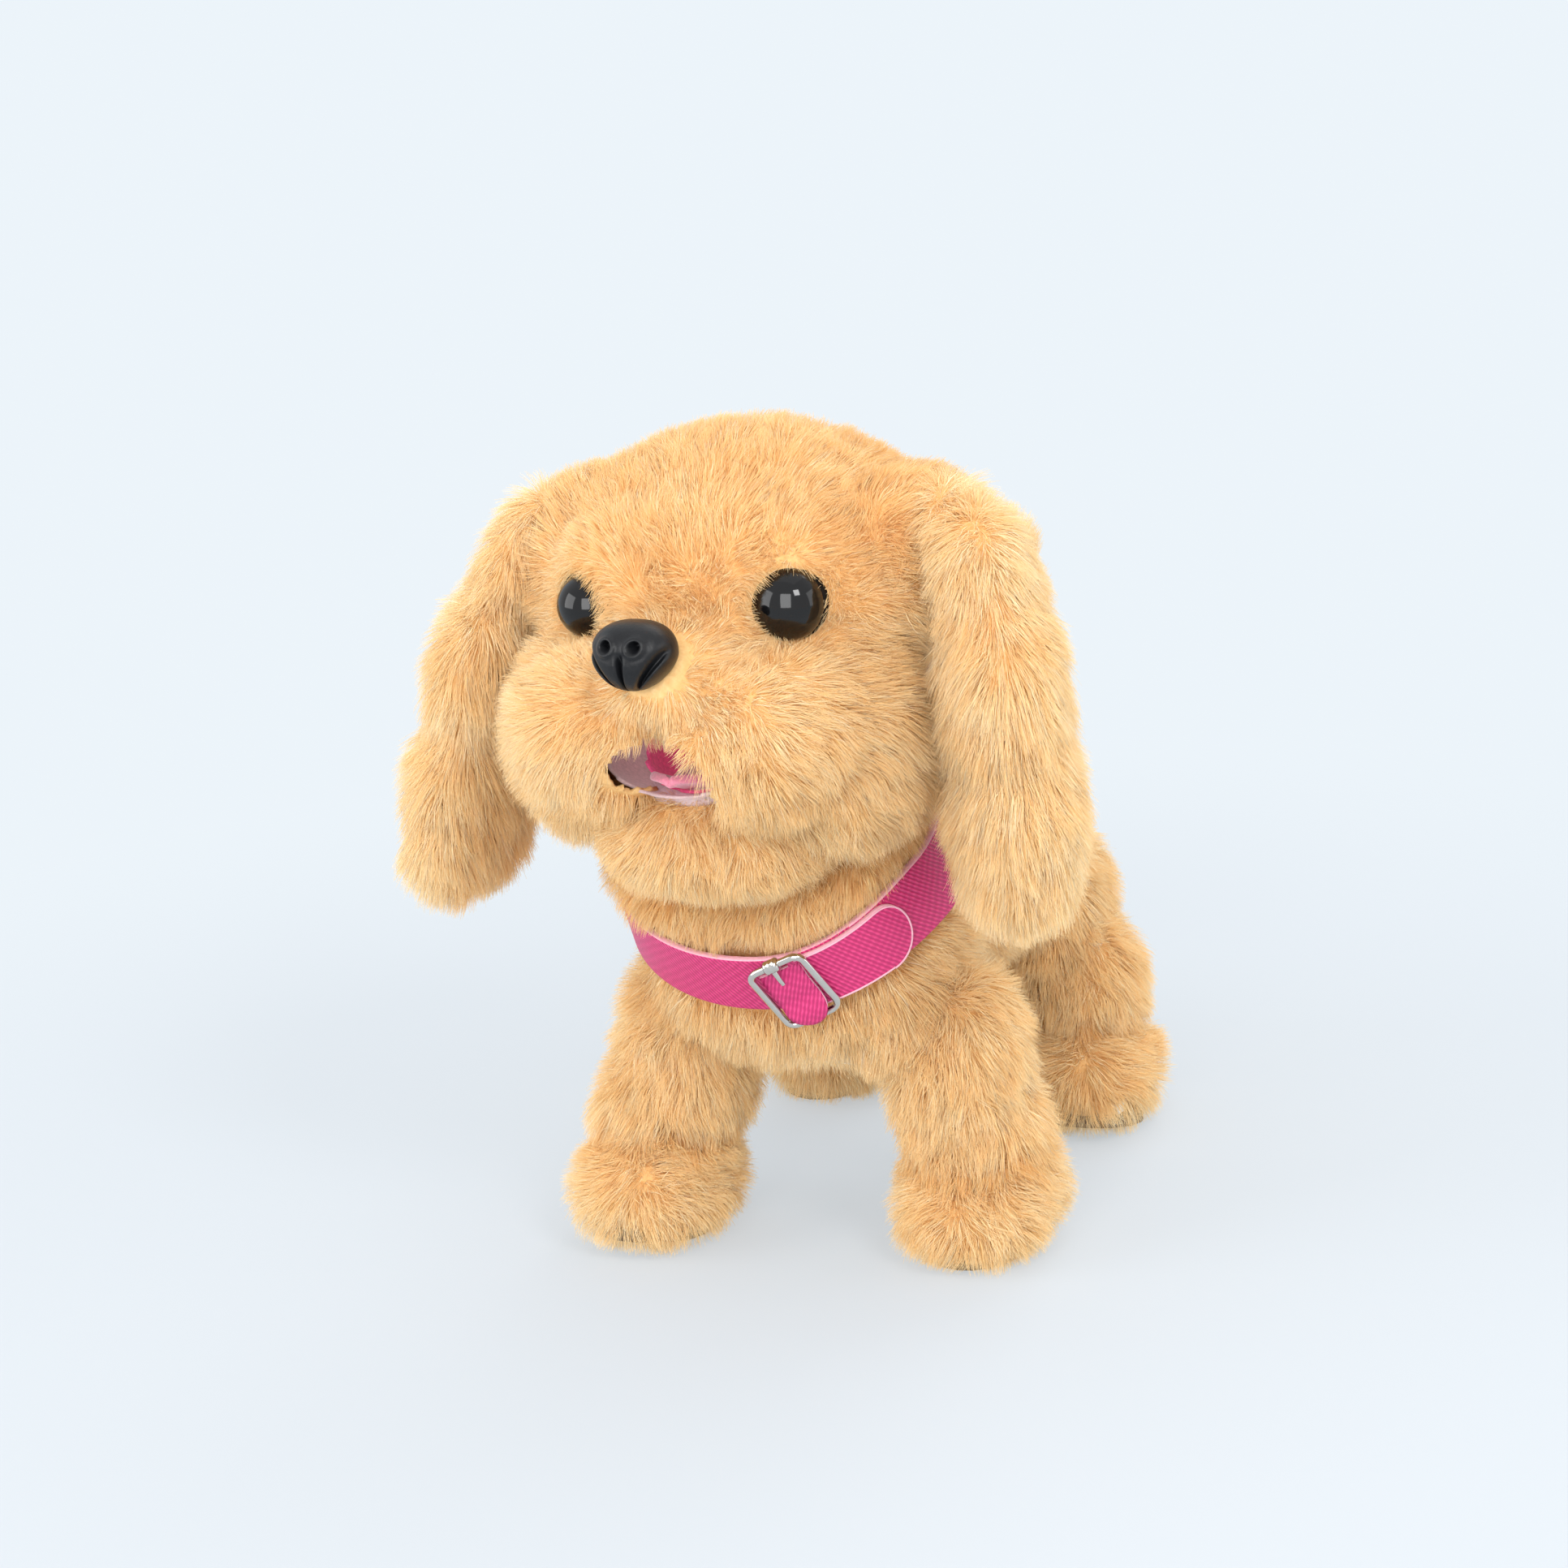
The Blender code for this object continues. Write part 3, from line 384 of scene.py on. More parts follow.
# ------------------------------------------------------------------ soft forms
# A shape is a superellipsoid: (centre, radii, power, tilt about Y, tilt about X[, about Z]),
# with the tilts in degrees.
def soft_form(name, shapes, voxel, relax, material=SKIN):
    """One smooth closed mesh round a set of shapes."""
    bm = bmesh.new()
    for centre, radii, power, tilt_y, tilt_x, *tilt_z in shapes:
        sphere = bmesh.ops.create_uvsphere(bm, u_segments=36, v_segments=24, radius=1.0)
        place = (Matrix.Translation(centre)
                 @ Matrix.Rotation(math.radians(tilt_z[0] if tilt_z else 0), 4, "Z")
                 @ Matrix.Rotation(math.radians(tilt_x), 4, "X")
                 @ Matrix.Rotation(math.radians(tilt_y), 4, "Y"))
        for v in sphere["verts"]:
            size = sum(abs(c) ** power for c in v.co) ** (-1 / power)
            v.co = place @ Vector([c * size * r for c, r in zip(v.co, radii)])
            v.co *= MM
    obj = object_from_bmesh(name, bm)
    remesh = obj.modifiers.new("remesh", "REMESH")
    remesh.mode, remesh.voxel_size, remesh.use_smooth_shade = "VOXEL", voxel * MM, True
    smooth = obj.modifiers.new("relax", "SMOOTH")
    smooth.factor, smooth.iterations = 0.5, relax
    bake_modifiers(obj)
    obj.data.materials.append(material)
    return obj


def drop_faces(obj, test):
    """Removes the faces whose centre passes test (N by 3 mm to booleans)."""
    bm = bmesh.new()
    bm.from_mesh(obj.data)
    out = test(np.array([f.calc_center_median() for f in bm.faces]) / MM)
    bmesh.ops.delete(bm, geom=[f for f, o in zip(bm.faces, out) if o], context="FACES")
    bm.to_mesh(obj.data)
    bm.free()
    obj.data.update()


def inside(points, shapes, margin=0.0):
    """Whether each point lies in one of the shapes, grown by margin."""
    hit = np.zeros(len(points), bool)
    for centre, radii, power, tilt_y, tilt_x in shapes:
        turn = np.array((Matrix.Rotation(math.radians(tilt_x), 3, "X")
                         @ Matrix.Rotation(math.radians(tilt_y), 3, "Y")).inverted())
        local = np.abs((points - np.array(centre)) @ turn.T) / (np.array(radii) + margin)
        hit |= (local ** power).sum(1) < 1
    return hit


# ------------------------------------------------------------------ pile
FUR_DENSITY = 1.0
STRAND_WIDTH, FIBRE_RADIUS = 0.4, 0.07
ROOT_DEPTH = 0.5      # how deep a strand starts beneath the skin
STRAY = 0.22          # random lean of single strands
SWIRL = 0.26          # strength of the slow waves in the nap
LOWEST_FUR = 0.35     # no strand dips below this height


def scatter(obj, per_mm2, seed, keep):
    """Random points and normals on a skin, thinned by keep(points, normals)."""
    mesh = obj.data
    mesh.calc_loop_triangles()
    corners = np.empty(len(mesh.loop_triangles) * 3, np.int32)
    mesh.loop_triangles.foreach_get("vertices", corners)
    corners = corners.reshape(-1, 3)
    skin_points, skin_normals = get_points(obj), get_normals(obj)
    a, b, c = (skin_points[corners[:, i]] for i in range(3))
    areas = np.linalg.norm(np.cross(b - a, c - a), axis=1) / 2
    rng = np.random.default_rng(seed)
    count = int(areas.sum() * per_mm2)
    pick = np.searchsorted(np.cumsum(areas) / areas.sum(), rng.random(count))
    pick = np.minimum(pick, len(corners) - 1)
    root, split = np.sqrt(rng.random(count))[:, None], rng.random(count)[:, None]
    weights = (1 - root, root * (1 - split), root * split)
    points = sum(weights[i] * skin_points[corners[pick, i]] for i in range(3))
    normals = unit(sum(weights[i] * skin_normals[corners[pick, i]] for i in range(3)))
    if keep is not None:
        kept = keep(points, normals)
        points, normals = points[kept], normals[kept]
    return points, normals


def across_skin(vectors, normals):
    return vectors - (vectors * normals).sum(1, keepdims=True) * normals


def grow(points, normals, flow, lengths, segments, seed,
         lift=0.8, comb=0.6, droop=0.18, clump_mm=2.6, clump=0.38):
    """Strand paths (n, segments + 1, 3) that stand, lean along flow and gather into tufts."""
    rng = np.random.default_rng(seed)
    n = len(points)
    lengths = lengths * rng.uniform(0.72, 1.1, n)
    brushed = across_skin(flow(points, normals), normals)
    swirl = wave(points, 13.0, 5) * SWIRL + wave(points, 5.5, 6) * SWIRL * 0.7
    swirl = across_skin(swirl, normals)
    stray = rng.normal(size=(n, 3))
    direction = unit(normals * lift + brushed * comb + swirl + stray * STRAY)
    bend = brushed * comb * 0.7 + swirl * 0.5 + np.array([0, 0, -droop]) - normals * 0.12
    t = np.linspace(0, 1, segments + 1)
    paths = (points - normals * ROOT_DEPTH)[:, None, :] + lengths[:, None, None] * (
        t[None, :, None] * direction[:, None, :]
        + 0.5 * (t ** 2)[None, :, None] * bend[:, None, :])
    # each strand leans toward the nearest of the tuft centres
    cells = len(np.unique(np.floor(points / clump_mm).astype(int), axis=0)) + 1
    tufts = int(n / max(1.0, n / cells))
    centres = rng.choice(n, tufts, replace=False)
    tree = kdtree.KDTree(len(centres))
    for i, centre in enumerate(centres):
        tree.insert(points[centre], i)
    tree.balance()
    near = np.fromiter((centres[tree.find(p)[1]] for p in points), int, n)
    strength = clump * rng.uniform(0.6, 1.15, n)
    pull = (paths[near] - paths) * (strength[:, None] * t[None, :] ** 1.4)[:, :, None]
    paths = paths + pull
    paths[:, :, 2] = np.maximum(paths[:, :, 2], LOWEST_FUR)
    return paths


def tones(points, seed, base, extra):
    """One tone per strand: base, a random spread and slow patches."""
    rng = np.random.default_rng(seed)
    tone = (base + rng.normal(size=len(points)) * 0.13
            + wave(points, 22.0, 9)[:, 0] * 0.05 + wave(points, 7.0, 10)[:, 1] * 0.05)
    if extra is not None:
        tone = tone + extra(points)
    return np.clip(tone, 0.02, 0.98)


def strand_mesh(name, paths, tone):
    """Pointed three-sided strands in one mesh, their open roots inside the skin."""
    count, stations, _ = paths.shape
    rings = stations - 1
    direction = unit(paths[:, 1] - paths[:, 0])
    reference = np.where(np.abs(direction[:, 2:3]) < 0.8,
                         np.array([[0, 0, 1.0]]), np.array([[1.0, 0, 0]]))
    across = unit(np.cross(direction, reference))
    over = np.cross(direction, across)
    per_strand = rings * 3 + 1
    points = np.empty((count, per_strand, 3))
    for j, shrink in enumerate(np.linspace(1.0, 0.55, rings)):
        for s in range(3):
            angle = 2 * math.pi * s / 3
            points[:, j * 3 + s] = paths[:, j] + (
                across * math.cos(angle) + over * math.sin(angle)) * (STRAND_WIDTH * 0.5 * shrink)
    points[:, -1] = paths[:, -1]
    quads = [(j * 3 + s, j * 3 + (s + 1) % 3, (j + 1) * 3 + (s + 1) % 3, (j + 1) * 3 + s)
             for j in range(rings - 1) for s in range(3)]
    tips = [((rings - 1) * 3 + s, (rings - 1) * 3 + (s + 1) % 3, per_strand - 1)
            for s in range(3)]
    first = np.arange(count)[:, None, None] * per_strand
    quads = (np.array(quads)[None] + first).reshape(-1, 4)
    tips = (np.array(tips)[None] + first).reshape(-1, 3)
    loops = np.concatenate([quads.ravel(), tips.ravel()]).astype(np.int32)
    starts = np.concatenate([np.arange(len(quads)) * 4,
                             len(quads) * 4 + np.arange(len(tips)) * 3]).astype(np.int32)
    mesh = bpy.data.meshes.new(name)
    mesh.vertices.add(count * per_strand)
    mesh.vertices.foreach_set("co", (points * MM).astype(np.float32).ravel())
    mesh.loops.add(len(loops))
    mesh.loops.foreach_set("vertex_index", loops)
    mesh.polygons.add(len(starts))
    mesh.polygons.foreach_set("loop_start", starts)
    mesh.update(calc_edges=True)
    mesh.validate()
    mesh.shade_smooth()
    # u is the tone, a little different on each side; v is the way along the strand
    side = np.tile(np.concatenate([np.tile([-1.0, 0.0, 1.0], rings), [0.0]]), count)
    steps = np.repeat(np.linspace(0, 1, stations)[:-1], 3)
    along = np.tile(np.concatenate([steps, [1.0]]), count)
    u = np.clip(np.repeat(tone, per_strand) + side * 0.012, 0.004, 0.996)
    set_uvs(mesh, "OFBake", np.stack([u, np.clip(along, 0.01, 0.99)], 1))
    mesh.materials.append(STRAND)
    return link(bpy.data.objects.new(name, mesh))


def fibre_curves(name, paths, tone, body):
    """Fine fibres between the strands, as render curves."""
    count, stations, _ = paths.shape
    curves = bpy.data.hair_curves.new(name)
    curves.add_curves([stations] * count)
    curves.points.foreach_set("position", (paths * MM).astype(np.float32).ravel())
    taper = np.linspace(1.0, 0.25, stations)
    radii = np.tile(taper * FIBRE_RADIUS * MM, count).astype(np.float32)
    curves.points.foreach_set("radius", radii)
    attribute = curves.attributes.new("tone", "FLOAT", "CURVE")
    attribute.data.foreach_set("value", tone.astype(np.float32))
    curves.materials.append(FIBRE)
    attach(link(bpy.data.objects.new(name, curves)), body)


def coat(name, skin, body, flow, length, seed, keep=None, mesh_per=0.85, fibre_per=4.2,
         base=0.62, extra=None, **style):
    """Both layers of pile on a skin: mesh strands and finer fibres, each so many per mm2."""
    def layer(per_mm2, layer_seed, stretch, segments):
        points, normals = scatter(skin, per_mm2 * FUR_DENSITY, layer_seed, keep)
        lengths = length(points) if callable(length) else np.full(len(points), length)
        paths = grow(points, normals, flow, lengths * stretch, segments, layer_seed + 1, **style)
        return paths, tones(points, layer_seed + 2, base, extra)

    strands = strand_mesh(name, *layer(mesh_per, seed, stretch=1.0, segments=2))
    fibre_curves(name + "_fibres", *layer(fibre_per, seed + 3, stretch=1.04, segments=4), body)
    return strands


# ------------------------------------------------------------------ shapes of the skins
TORSO = [((0, 22, 77), (34, 58, 30), 2.2, 0, -3),
         ((0, -33, 76.5), (35.5, 33, 28), 2.2, 0, 0),
         ((24, -38, 62), (12.5, 16, 17), 2.2, 0, 0),
         ((-22, -38, 62), (12, 15, 17), 2.2, 0, 0),
         ((20, 54, 64), (12.5, 21, 21), 2.2, 0, 0),
         ((-20, 54, 64), (12.5, 21, 21), 2.2, 0, 0),
         ((0, 61, 89), (23, 25, 19.5), 2.4, 0, -14),
         ((0, -40, 89), (33, 29, 19), 2.6, 0, 0)]
HEAD = [((0, -51, 157), (46, 41.5, 36.5), 2.0, 0, 0),
        ((37, -52, 166), (15.5, 21, 18.5), 2.1, 0, 0),
        ((-35.5, -52, 165.5), (15.5, 21, 18.0), 2.1, 0, 0),
        ((24.5, -68, 132), (21, 27, 23.5), 2.1, 0, 0),
        ((-26, -68, 132), (22, 27, 23.5), 2.1, 0, 0),
        ((17, -90, 138), (20, 22, 17.5), 2.0, 0, 0),
        ((-17, -90, 138), (20, 22, 17.5), 2.0, 0, 0),
        ((0, -90, 148), (15.5, 21.5, 13.5), 2.0, 0, 0),
        ((0, -70, 163), (35, 25, 22), 2.2, 0, 0)]
MOUTH = [((0.8, -99, 130.8), (13.2, 20, 7.5), 2.3, 0, 0)]
JAW = [((0, -74, 112.3), (24, 24, 11.5), 2.6, 0, 0), ((0, -82, 118.5), (17.5, 14.5, 6.0), 2.4, 0, 6)]
LIP_PAD = [((-0.5, -79.5, 123.2), (14.0, 16.6, 3.7), 2.2, 0, 4)]
NECK = [((0, -42, 97), (36.5, 34, 19), 2.6, 0, 18), ((0, -32.5, 119), (26, 21.5, 19), 2.3, 0, 0)]
TAIL = [((0, 86, 97.5), (9, 12, 10), 2.0, 0, 0), ((0, 97, 104), (8.0, 10, 12), 2.0, 0, -25),
        ((0, 104, 119), (7.5, 10, 16), 2.0, 0, -5), ((0, 106, 131), (5.5, 7.5, 11), 2.0, 0, 8)]
# The ears hang differently: the left one straight down, the right one flared.
# Columns: distance from the midplane, y, z, three radii, tilt about Y, tilt about Z
EARS = {
    "left": [(51.0, -56, 174, 6.0, 14, 11, -30, 12), (56.5, -60, 163, 8.5, 21, 18, -10, 24),
             (60.0, -63, 142, 10.0, 27, 25, -3, 29), (62.0, -63, 119, 10.5, 27, 20, 0, 29),
             (62.0, -62, 106, 9.5, 24, 11.5, 0, 26)],
    "right": [(48.0, -56, 172.5, 5.5, 12, 10, -30, 12), (51.5, -57, 161, 6.8, 15, 17, -16, 14),
              (59.0, -60, 141, 8.2, 20, 22, -14, 10), (67.0, -61, 118, 8.8, 21, 18, -15, 0),
              (71.0, -62, 104, 8.0, 20, 12, -12, -6)]}
# Columns: side, hip y, lean in degrees, whether it is a front leg
LEGS = {"front_left": (1, HIP_FRONT, LEAN, True), "front_right": (-1, HIP_FRONT, -LEAN, True),
        "rear_left": (1, HIP_REAR, -LEAN, False), "rear_right": (-1, HIP_REAR, LEAN, False)}


def leg_shapes(side, hip_y, lean, front):
    """Thigh, shin and paw, given about the hip and turned by the rest lean."""
    leg_x = LEG_X * side
    if front:
        inward, shin_out = (2.0, 0.6) if side > 0 else (9.0, 2.0)
        parts = [((leg_x - inward * side, -1, -16), (12.5, 14.5, 21), 2.3),
                 ((leg_x + shin_out, -1, -36), (13.5, 13.5, 17), 2.3),
                 ((leg_x + 0.5, -0.9, -49.5), (14.3, 19.4, 10.0), 2.7)]
    else:
        parts = [((leg_x - 12 * side, 0, -10), (10.5, 18, 20), 2.2),
                 ((leg_x - 5.5 * side, 2, -30), (12.5, 16, 18), 2.3),
                 ((leg_x - 2.5 * side, -0.6, -49.5), (13.8, 19.4, 10.0), 2.7)]
    sin, cos = math.sin(math.radians(lean)), math.cos(math.radians(lean))
    return [((x, hip_y + y * cos - z * sin, HIP_Z + y * sin + z * cos), radii, power, 0, lean)
            for (x, y, z), radii, power in parts]


LEG_SETS = {name: leg_shapes(*place) for name, place in LEGS.items()}


# ------------------------------------------------------------------ collar space
COLLAR_AXES = np.array([[1, 0, 0], [0, math.cos(COLLAR_TILT), -math.sin(COLLAR_TILT)],
                        [0, math.sin(COLLAR_TILT), math.cos(COLLAR_TILT)]])


def collar_bend(theta):
    """How far the strap climbs and leans in on the left: 0 at the front, 1 at the side."""
    return (ease(theta, math.radians(8), math.radians(74))
            * (1 - ease(theta, math.radians(115), math.radians(172))))


def collar_angle(local):
    """Angle about the collar: 0 at the front, positive toward the left."""
    return np.arctan2(local[:, 0], -local[:, 1])


def collar_local(points):
    """Position in the collar's axes, bend straightened: z is the height above the top edge."""
    local = (points - COLLAR_CENTRE) @ COLLAR_AXES
    local[:, 2] -= LIFT * collar_bend(collar_angle(local))
    return local


def collar_radius(local):
    """Distance from the collar's axis as a share of the strap's own."""
    return np.hypot(local[:, 0] / COLLAR_A, local[:, 1] / COLLAR_B)


def collar_waist(local):
    """Share of the strap's radius that the skin is pressed to beneath it."""
    bend = collar_bend(collar_angle(local))
    height = np.clip((local[:, 2] + COLLAR_WIDTH) / COLLAR_WIDTH, 0, 1)
    return 0.93 - PULL / COLLAR_A * bend * height


def press_in(local, band, limit):
    """Draws points in to limit where band is 1, and gives them in the frame's axes."""
    radius = collar_radius(local)
    squeeze = np.where(radius > limit, 1 + (limit / np.maximum(radius, 1e-6) - 1) * band, 1.0)
    local[:, 0] *= squeeze
    local[:, 1] *= squeeze
    local[:, 2] += LIFT * collar_bend(collar_angle(local))
    return local @ COLLAR_AXES.T + COLLAR_CENTRE


def collar_press(points):
    """How much the collar presses the pile at a point: 1 under the strap, 0 away from it."""
    local = collar_local(points)
    z = local[:, 2]
    band = ease(z, -COLLAR_WIDTH - 5.5, -COLLAR_WIDTH - 1.5) * (1 - ease(z, 0.5, 4.5))
    return band * ease(collar_radius(local), 0.6, 0.8)


def toward(direction):
    """Pile brushed one way all over."""
    direction = np.array(direction, float)
    return lambda points, normals: np.tile(direction / np.linalg.norm(direction),
                                           (len(points), 1))


# ------------------------------------------------------------------ body
def body_flow(points, normals):
    """Back along the body, and down the chest."""
    flow = np.zeros_like(points)
    front = ease(-points[:, 1], 45, 62)
    flow[:, 1] = 0.75 * (1 - front)
    flow[:, 2] = -0.55 - 0.6 * front
    return unit(flow)


def in_legs(points, margin):
    hit = np.zeros(len(points), bool)
    for shapes in LEG_SETS.values():
        hit |= inside(points, shapes, margin)
    return hit


def body_open(points):
    """Openings at the belly, inside the legs and under the neck."""
    x, y, z = points.T
    belly = (np.abs(x) < 19.6) & (y > -27.5) & (y < 61) & (z < 47)
    legs = in_legs(points, -4.5) & (np.abs(x) > 19.8)
    top = collar_local(points)
    neck_hole = (top[:, 2] > 3) & (np.hypot(top[:, 0] / 26, top[:, 1] / 24) < 1) & (z > 92)
    return belly | legs | neck_hole


def body_keep(points, normals):
    return (collar_press(points) < 0.25) & ~in_legs(points, -1.0)


def body_length(points):
    return (8.4 * (1 - 0.55 * collar_press(points))
            * (1 - 0.45 * ease(-points[:, 2], -58, -46)))


body = soft_form("plush_body", TORSO, voxel=2.0, relax=10)
local = collar_local(get_points(body))
under_strap = (ease(local[:, 2], -COLLAR_WIDTH - 6, -COLLAR_WIDTH - 1)
               * (1 - ease(local[:, 2], 0, 4)))
set_points(body, press_in(local, under_strap, collar_waist(local)))
drop_faces(body, body_open)
body_pile = coat("plush_body_pile", body, "chassis", body_flow, body_length, seed=11,
                 keep=body_keep)
thicken(body, 1.2)
mount((body, body_pile), "chassis", replaced="body_fur_cover")


# ------------------------------------------------------------------ neck
def neck_open(points):
    """The core, and what lies well beneath the collar's top edge."""
    core = np.hypot(points[:, 0] / 24, (points[:, 1] + 42) / 22) < 1
    return core | (collar_local(points)[:, 2] < -9)


neck = soft_form("plush_neck", NECK, voxel=2.0, relax=6)
local = collar_local(get_points(neck))
set_points(neck, press_in(local, 1 - ease(local[:, 2], 2, 14), collar_waist(local) + 0.02))
drop_faces(neck, neck_open)
neck_pile = coat("plush_neck_pile", neck, "chassis", toward((0, -0.15, -0.6)),
                 lambda points: 1.6 + 6.0 * ease(collar_local(points)[:, 2], -1.0, 9.0), seed=31,
                 keep=lambda points, normals: collar_local(points)[:, 2] > -1.0,
                 base=0.5, droop=0.05)
thicken(neck, 1.0)
mount_blend((neck, neck_pile))


# ------------------------------------------------------------------ head
def head_flow(points, normals):
    """Away from the nose and down the cheeks."""
    x, _, z = points.T
    low = ease(-z, -150, -128)[:, None]
    flow = unit(unit(points - NOSE_AT) * 1.0 + low * np.array([0, 0.15, -0.75]))
    # lashes: round each eye the pile leans a little over its rim
    for (eye_x, _, eye_z), lean in zip(EYES, (0.6, 1.0)):
        away = np.hypot(x - eye_x, z - eye_z)
        weight = (bell(np.maximum(away - 8, 0), 3.0) * (points[:, 1] < -62))[:, None]
        inward = (np.stack([eye_x - x, np.full(len(points), -3.0), eye_z - z], 1)
                  / np.maximum(away, 1)[:, None])
        flow = flow * (1 - weight) + lean * inward * weight
    return flow


def shape_face(obj):
    """Eye sockets, brows, the dip above the muzzle and the cleft below the nose."""
    points, normals = get_points(obj), get_normals(obj)
    x, y, z = points.T
    for eye_x, eye_y, eye_z in EYES:
        socket = distance(points, (eye_x, eye_y - 3, eye_z), (1, 0.8, 1))
        push(points, normals, -2.6 * bell(socket, 8.5))
        brow = distance(points, (eye_x * 0.95, eye_y - 1, eye_z + 13))
        push(points, normals, 1.6 * bell(brow, 9))
    push(points, normals, -1.5 * bell(distance(points, (0, -94, 166), (1.4, 1, 1)), 10))
    y += 3.2 * (bell(x, 3.2) * ease(-y, 98, 108) * ease(-z, -152, -140))
    set_points(obj, points)


def head_open(points):
    x, y, z = points.T
    throat = (np.hypot(x / 27, (y + 44) / 26) < 1) & (z < 132)
    return inside(points, MOUTH) | inside(points, JAW, 2.6) | throat


def head_keep(points, normals):
    x, y, z = points.T
    on_eye = np.zeros(len(points), bool)
    for (eye_x, _, eye_z), radius in zip(EYES, EYE_RADII):
        on_eye |= np.hypot(x - eye_x, z - eye_z) < radius - 0.3
    from_nose = (points - np.array([0, -111.5, 158])) / np.array([10.6, 12, 8.8])
    on_nose = np.linalg.norm(from_nose, axis=1) < 1
    return ~(on_eye & (y < -60)) & ~on_nose & ~inside(points, MOUTH, 1.0)


def head_length(points):
    """Shorter round the eyes, nose and mouth, and on the crown."""
    x, y, z = points.T
    near = np.min([np.hypot(x - eye_x, z - eye_z) + np.maximum(0, y + 70)
                   for eye_x, _, eye_z in EYES], axis=0)
    eye = ease(near, 8, 19)
    nose = ease(distance(points, NOSE_AT), 9, 26)
    mouth = 1 - 0.56 * bell(distance(points, (0, -103, 134), (0.5, 1, 1)), 9)
    crown = 1 - 0.16 * ease(z, 160, 180)
    return 7.6 * (0.64 + 0.36 * eye) * (0.58 + 0.42 * nose) * mouth * crown


head = soft_form("plush_head", HEAD, voxel=1.7, relax=9)
shape_face(head)
drop_faces(head, head_open)
head_pile = coat("plush_head_pile", head, "head", head_flow, head_length, seed=41,
                 keep=head_keep, base=0.64,
                 extra=lambda points: -0.20 * ease(points[:, 2], 158, 182))
thicken(head, 1.0)
mount((head, head_pile), "head", replaced="head_fur_cover")


# ------------------------------------------------------------------ jaw, mouth, tongue
def jaw_flow(points, normals):
    count = len(points)
    return unit(np.stack([points[:, 0] * 0.03, np.full(count, -0.15), np.full(count, -0.8)], 1))


def jaw_keep(points, normals):
    x, y, _ = points.T
    return ~((normals[:, 2] > 0.35) & (np.abs(x) < 16) & (y > -93))


jaw = soft_form("plush_jaw", JAW, voxel=1.5, relax=6)
jaw_pile = coat("plush_jaw_pile", jaw, "jaw", jaw_flow, 6.4, seed=61, keep=jaw_keep)
mount((jaw, jaw_pile), "jaw", replaced="jaw_fur")


def bowl(name, centre, radii, material, cut):
    """A lined hollow open to the front: an ellipsoid less its cap beyond cut."""
    bm = bmesh.new()
    bmesh.ops.create_uvsphere(bm, u_segments=40, v_segments=20, radius=1.0)
    away = Vector((0, -1, 0.2)).normalized()
    cap = [f for f in bm.faces if f.calc_center_median().dot(away) > cut]
    bmesh.ops.delete(bm, geom=cap, context="FACES")
    for v in bm.verts:
        v.co = Vector([c + r * q for c, r, q in zip(centre, radii, v.co)]) * MM
    obj = object_from_bmesh(name, bm, material)
    thicken(obj, 0.6, offset=0)
    return obj


lining = bowl("mouth_lining_cloth", (-0.5, -91, 131.5), (17.5, 17, 8.8), MAUVE, cut=0.35)
mount([lining], "head", replaced="mouth_lining")
roof = bowl("mouth_roof", (2.0, -90, 131.2), (11.5, 14.5, 7.6), ROSE, cut=0.2)
mount([roof], "head")
lip = soft_form("jaw_lip_lining", LIP_PAD, voxel=0.9, relax=3, material=LIP)
mount([lip], "jaw")


def tongue_strip():
    """A felt strip that rises to the front, with a rounded tip and a groove along it."""
    rows, cols = 22, 13
    points = []
    for i in range(rows):
        s = i / (rows - 1)
        half = 7.2 * (1 - max(0, (s - 0.72) / 0.28) ** 2.2 * 0.92)
        y = -76 - 26.5 * s
        z = 117.6 + 11.2 * s ** 0.8 - 0.6 * ease(s, 0.85, 1.0)
        for j in range(cols):
            t = j / (cols - 1) * 2 - 1
            groove = 0.7 * math.exp(-(t / 0.18) ** 2)
            points.append((half * t, y, z + 0.9 * t * t - groove))
    obj = mesh_from("tongue_felt_strip", points, grid_faces(rows, cols), FELT)
    thicken(obj, 2.0, offset=0, subdivide=True)
    return obj


mount([tongue_strip()], "jaw", replaced="tongue")


# ------------------------------------------------------------------ eyes
# A near-black cup round each eye: partly the eye's dark backing, partly painted shadow in the ring
# of pile round the dome
SOCKET = simple("eye_socket", (0.012, 0.010, 0.009), rough=0.9, spec=0.1, grain=1500, bump=0.4,
                vary=0.3)
# Rings of the socket wall: radius, distance forward of the eye's centre
SOCKET_RINGS = ((6.2, 0.8), (7.0, 0.8), (7.8, 0.3), (8.2, -0.8), (8.3, -2.4), (8.3, -6.0))


def facing(x, z):
    """The turn that points local Z forward and a little toward x and z."""
    return Vector((x, -1, z)).normalized().to_track_quat("Z", "Y").to_matrix()


def eye_socket(name, side, centre):
    turn, sides = facing(0.16 * side, 0.06), 48
    angles = np.linspace(0, 2 * math.pi, sides, endpoint=False)
    points = [np.array(turn @ Vector((radius * math.cos(a), radius * math.sin(a), forward)))
              + np.array(centre) for radius, forward in SOCKET_RINGS for a in angles]
    faces = [(i * sides + j, i * sides + (j + 1) % sides,
              (i + 1) * sides + (j + 1) % sides, (i + 1) * sides + j)
             for i in range(len(SOCKET_RINGS) - 1) for j in range(sides)]
    return mesh_from(name, points, faces, SOCKET)


def eye_dome(name, side, centre, radius):
    turn = facing(0.10 * side, 0.04)
    bm = bmesh.new()
    bmesh.ops.create_uvsphere(bm, u_segments=64, v_segments=48, radius=1.0)
    for v in bm.verts:
        x, y, z = v.co
        v.co = turn @ Vector((x * radius, y * radius, max(z, -0.35) * 7.0))
        v.co = (v.co + Vector(centre)) * MM
    return object_from_bmesh(name, bm, EYE_GLOSS)


